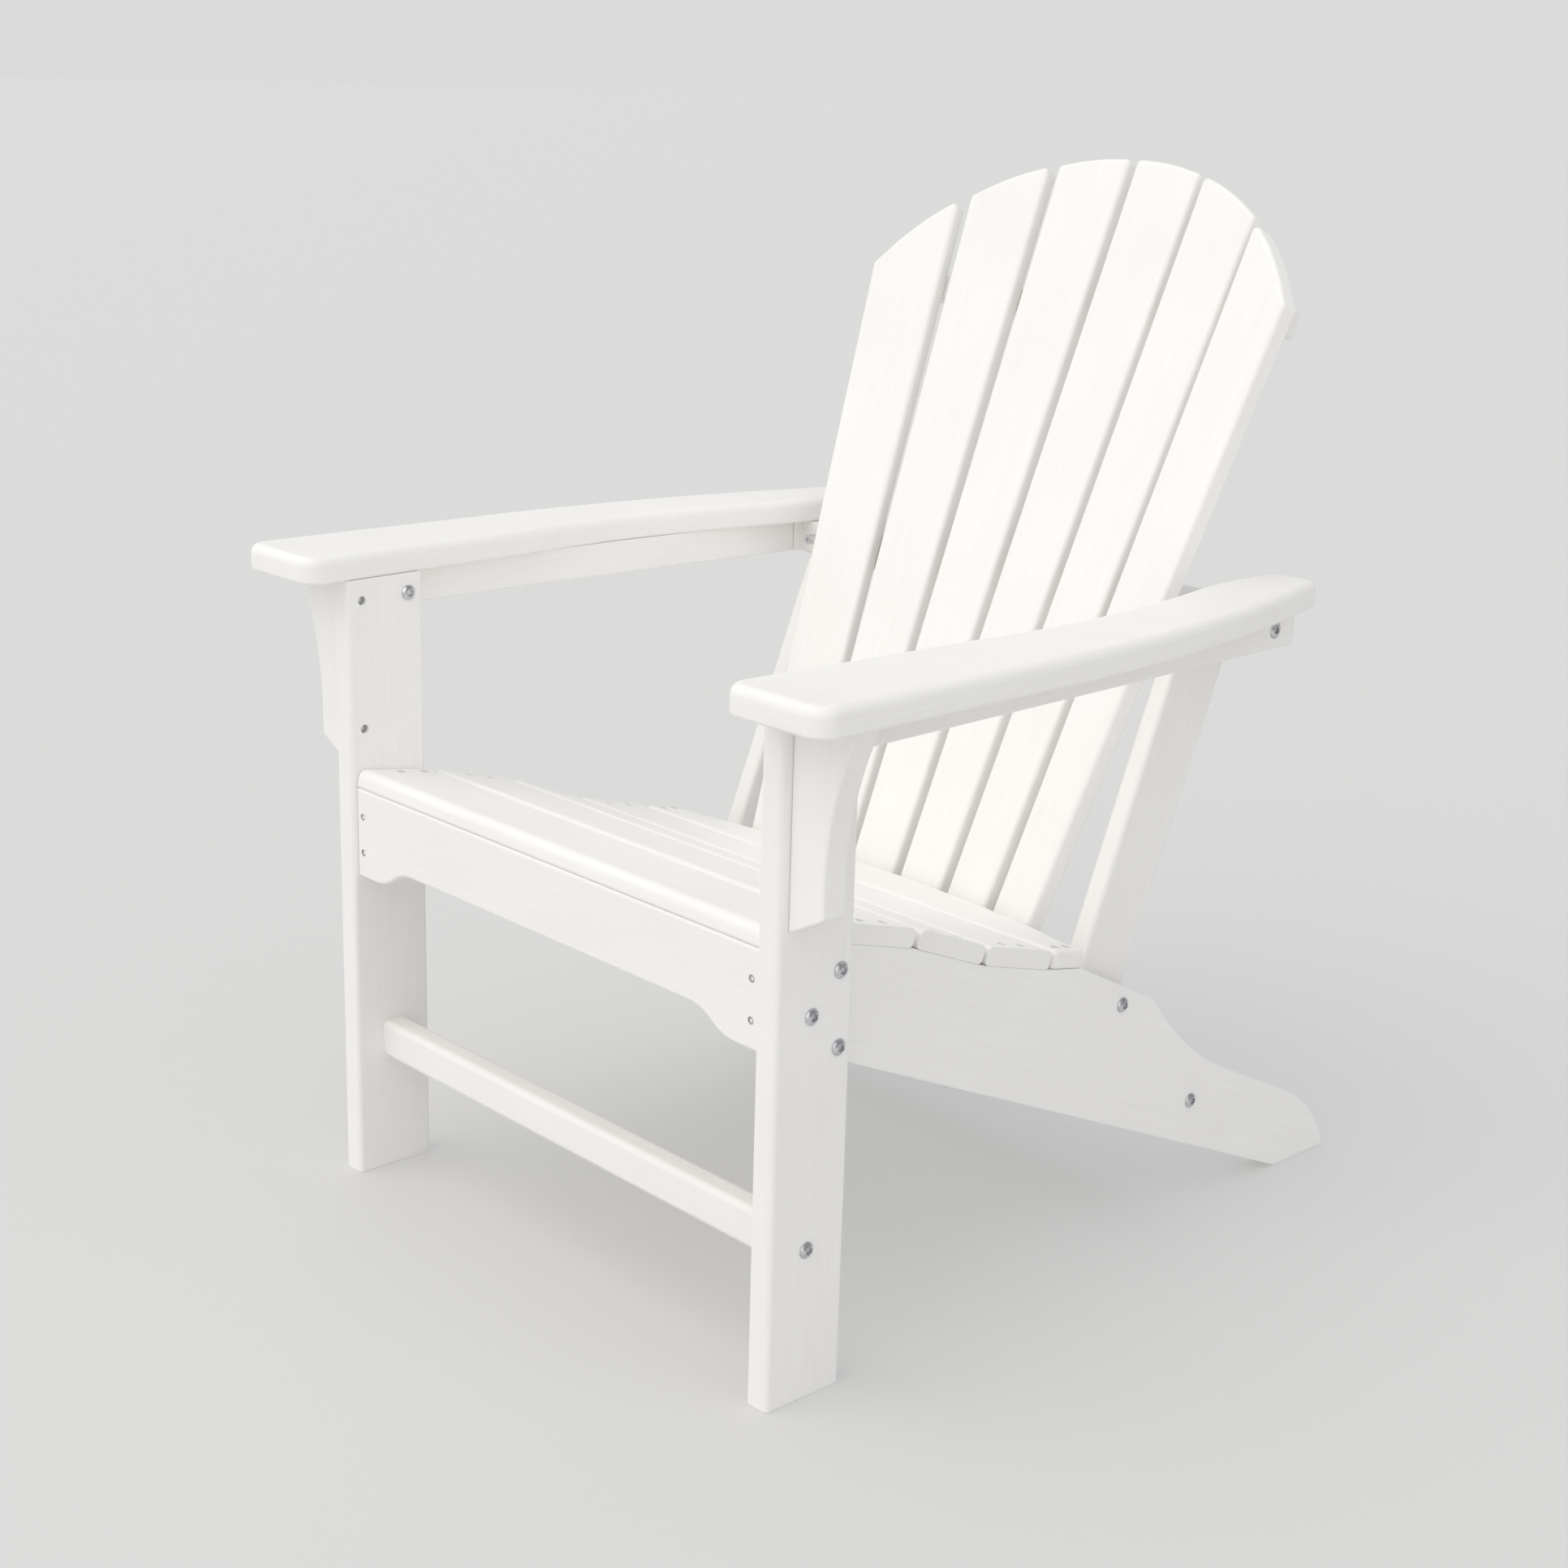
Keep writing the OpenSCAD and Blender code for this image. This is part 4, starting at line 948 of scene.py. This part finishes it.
leg_bolts = [(leg_d - 14, 356.5), (apron_back + 8.1, 325.4), (leg_d - 14, 293.3)]
str_lo, str_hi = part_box("front_stretcher")
rear_lo, rear_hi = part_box("rear_stretcher")
str_y = (str_lo[1] + str_hi[1]) / 2 / MM - FRONT / MM - 2
rear_y = (rear_lo[1] + rear_hi[1]) / 2 / MM - FRONT / MM
post_bolt_y = post_y(post_bolt_z) + post_w / 2 - 2.5
bolt_marks = []
for s in (1, -1):
    out_turn, in_turn = (0, s * pi / 2, 0), (0, -s * pi / 2, 0)
    for y, z in leg_bolts:
        bolt_marks.append((spot(s * leg_out, y, z), out_turn))
    bolt_marks.append((spot(s * leg_out, str_y, (str_lo[2] + str_hi[2]) / 2 / MM), out_turn))
    bolt_marks.append((spot(s * leg_in, rear_y, (rear_lo[2] + rear_hi[2]) / 2 / MM), out_turn))
    bolt_marks.append((spot(s * leg_in, post_bolt_y, post_bolt_z), out_turn))
    bolt_marks.append((spot(s * leg_in, leg_d - 15.7, arm_z - arm_rail_h / 2 - 1), in_turn))
    brace_bolt_x = rail_x(brace_bolt_y) + board_t - recess_depth
    bolt_marks.append((spot(s * brace_bolt_x, brace_bolt_y, brace_bolt_z), out_turn))
verts, faces = lathe(bolt_profile, 48, lobed)
bolt = mesh_object("bolts", verts, faces)
bolts = set_out("bolts", bolt, bolt_marks, set_out_nodes, steel, seed=5)
hand_in(bolts, steel, ["leg_bolts", "stretcher_bolts", "post_bolts", "arm_bolts"])

# ---------------------------------------------------------------- screws
# Stainless countersunk wood screws hold the slats, the apron, the corbels and the back.
# Their flat heads are driven a little below the face of the lumber.

sunk_r = 3.9
screw_profile = [(2.2, -26), (2.2, -2.6), (sunk_r - 0.1, -0.5), (sunk_r, -0.15), (sunk_r - 0.15, 0),
                 (1.9, 0), (1.7, -0.1), (1.6, -1.3), (0.3, -1.5)]
screw_marks = []


def add_screws(holes, floor):
    """One screw in each drilled hole, its head lying on the hole's floor."""
    for mouth, way, r, depth in holes:
        way = Vector(way).normalized()
        turn = Vector((0, 0, 1)).rotation_difference(-way).to_euler()
        screw_marks.append((Vector(mouth) + way * floor, turn))


add_screws(apron_holes, 0.0006)
for s in (1, -1):
    add_screws([(spot(s * leg_in, corbel_screw_y, z), (s, 0, 0), 0, 0) for z in corbel_screw_z], 0.0036)
for i in (1, 2, 3):
    on = Matrix.Translation(spot(0, *seat_pts[i])) @ Matrix.Rotation(radians(-slopes[i]), 4, "X") @ SLAT
    add_screws(slat_holes(screw_rows, on), slat_screw_floor)
add_screws(slat_holes(first_rows, on_first), slat_screw_floor)
add_screws(last_holes, slat_screw_floor)
add_screws(brace_holes, 0.003)
add_screws(mid_holes, 0.0285)
verts, faces = lathe(screw_profile, 24, (5, 6, 7))
screw = mesh_object("screws", verts, faces)
screw_steel = steel_material("screw steel", (0.5, 0.5, 0.51), 0.3)
screws = set_out("screws", screw, screw_marks, set_out_nodes, screw_steel, seed=9)
hand_in(screws, screw_steel, ["apron_screws", "corbel_screws", "seat_screws", "back_screws"])

# ---------------------------------------------------------------- kept parts
# The lower brace, the sleeves that hold the posts off the rails and the cross nuts in the
# middle brace are hidden or nearly so. They keep their plain shape and take the finish of
# their stock.

kept_lumber = lumber_material("lumber of the lower brace")
for n in kept_lumber.node_tree.nodes:
    if n.bl_idname == "ShaderNodeVectorMath":
        place = kept_lumber.node_tree.nodes.new("ShaderNodeTexCoord")
        kept_lumber.node_tree.links.new(place.outputs["Object"], n.inputs[0])
for name, finish in (("lower_brace", kept_lumber), ("post_spacers", steel), ("barrel_nuts", steel)):
    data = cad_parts[name].data
    for i in range(len(data.materials)):
        data.materials[i] = finish

# ---------------------------------------------------------------- studio
# A wide pale floor that runs out of sight, an even grey surround, and soft light from high
# on the left.

floor_mesh = bpy.data.meshes.new("floor")
floor_mesh.from_pydata([(-90, -90, 0), (90, -90, 0), (90, 90, 0), (-90, 90, 0)], [], [(0, 1, 2, 3)])
floor = bpy.data.objects.new("floor", floor_mesh)
bpy.context.scene.collection.objects.link(floor)
floor_paint = bpy.data.materials.new("floor")
floor_paint.use_nodes = True
paint = floor_paint.node_tree.nodes["Principled BSDF"]
paint.inputs["Base Color"].default_value = (0.495, 0.49, 0.483, 1)
# the floor glows faintly by itself (emission): painted light that lifts the chair's shadow on the floor;
# the base colour is lowered to keep the open floor as bright
paint.inputs["Emission Color"].default_value = (1, 1, 1, 1)
paint.inputs["Emission Strength"].default_value = 0.215
paint.inputs["Roughness"].default_value = 0.9
paint.inputs["Specular IOR Level"].default_value = 0.1
floor_mesh.materials.append(floor_paint)

world = bpy.data.worlds.new("studio")
bpy.context.scene.world = world
world.use_nodes = True
node, link = world.node_tree.nodes.new, world.node_tree.links.new
way, path = node("ShaderNodeTexCoord"), node("ShaderNodeLightPath")


def toward(x, y, z):
    """How far a direction looks one way, from -1 to 1."""
    look = node("ShaderNodeVectorMath")
    look.operation = "DOT_PRODUCT"
    look.inputs[1].default_value = (x, y, z)
    link(way.outputs["Generated"], look.inputs[0])
    return look.outputs["Value"]


def swap(rays, usual, special):
    """Shows one kind of ray something else than the rest."""
    either = node("ShaderNodeMixShader")
    link(path.outputs[rays], either.inputs[0])
    link(usual, either.inputs[1])
    link(special, either.inputs[2])
    return either.outputs[0]


# the studio is open and bright all round except straight behind the chair, where it is dim
around, dim = world.node_tree.nodes["Background"], node("ShaderNodeMapRange")
around.inputs[0].default_value = (0.985, 1.0, 1.03, 1)
dim.interpolation_type = "SMOOTHSTEP"
for label, value in (("From Min", 0.35), ("From Max", 0.9), ("To Min", 0.935), ("To Max", 0.3)):
    dim.inputs[label].default_value = value
link(toward(0.1, 0.99, 0), dim.inputs["Value"])
link(dim.outputs[0], around.inputs[1])

plain = node("ShaderNodeBackground")                # what shows past the floor's end
plain.inputs[0].default_value = (1, 1, 1, 1)
plain.inputs[1].default_value = 0.708

# what polished steel mirrors: a dim room with one tall bright window on the left
room, window = node("ShaderNodeBackground"), node("ShaderNodeValToRGB")
dull, bright = window.color_ramp.elements
dull.position, dull.color = 0.1, (0.34, 0.34, 0.36, 1)
bright.position, bright.color = 0.75, (1.7, 1.7, 1.7, 1)
link(toward(-0.42, -0.86, 0.28), window.inputs[0])
link(window.outputs[0], room.inputs[0])
seen = swap("Is Glossy Ray", swap("Is Camera Ray", around.outputs[0], plain.outputs[0]), room.outputs[0])
link(seen, world.node_tree.nodes["World Output"].inputs[0])


def sun(name, azimuth, height, strength, spread, colour=(1, 1, 1)):
    data = bpy.data.lights.new(name, "SUN")
    data.energy, data.angle, data.color = strength, radians(spread), colour
    ob = bpy.data.objects.new(name, data)
    a, h = radians(azimuth), radians(height)
    aim = Vector((sin(a) * cos(h), -cos(a) * cos(h), sin(h)))
    ob.rotation_euler = aim.to_track_quat("Z", "Y").to_euler()
    bpy.context.scene.collection.objects.link(ob)


sun("key", -10, 52, 0.64, 60, (1, 0.93, 0.80))

view = bpy.context.scene.view_settings
view.view_transform = "Standard"
view.look = "None"
view.exposure = 0

azimuth, height, roll = radians(46.9), radians(16.16), radians(1.57)
seen_from = Vector((1.5515, -1.5388, 1.0134))
back = Vector((sin(azimuth) * cos(height), -cos(azimuth) * cos(height), sin(height)))
right = Vector((cos(azimuth), sin(azimuth), 0))
up = right.cross(-back)
right, up = right * cos(roll) + up * sin(roll), up * cos(roll) - right * sin(roll)
lens = bpy.data.cameras.new("camera")
lens.lens, lens.sensor_width = 56.5, 36
camera = bpy.data.objects.new("camera", lens)
camera.matrix_world = Matrix(((right.x, up.x, back.x, seen_from.x), (right.y, up.y, back.y, seen_from.y),
                              (right.z, up.z, back.z, seen_from.z), (0, 0, 0, 1)))
bpy.context.scene.collection.objects.link(camera)
bpy.context.scene.camera = camera
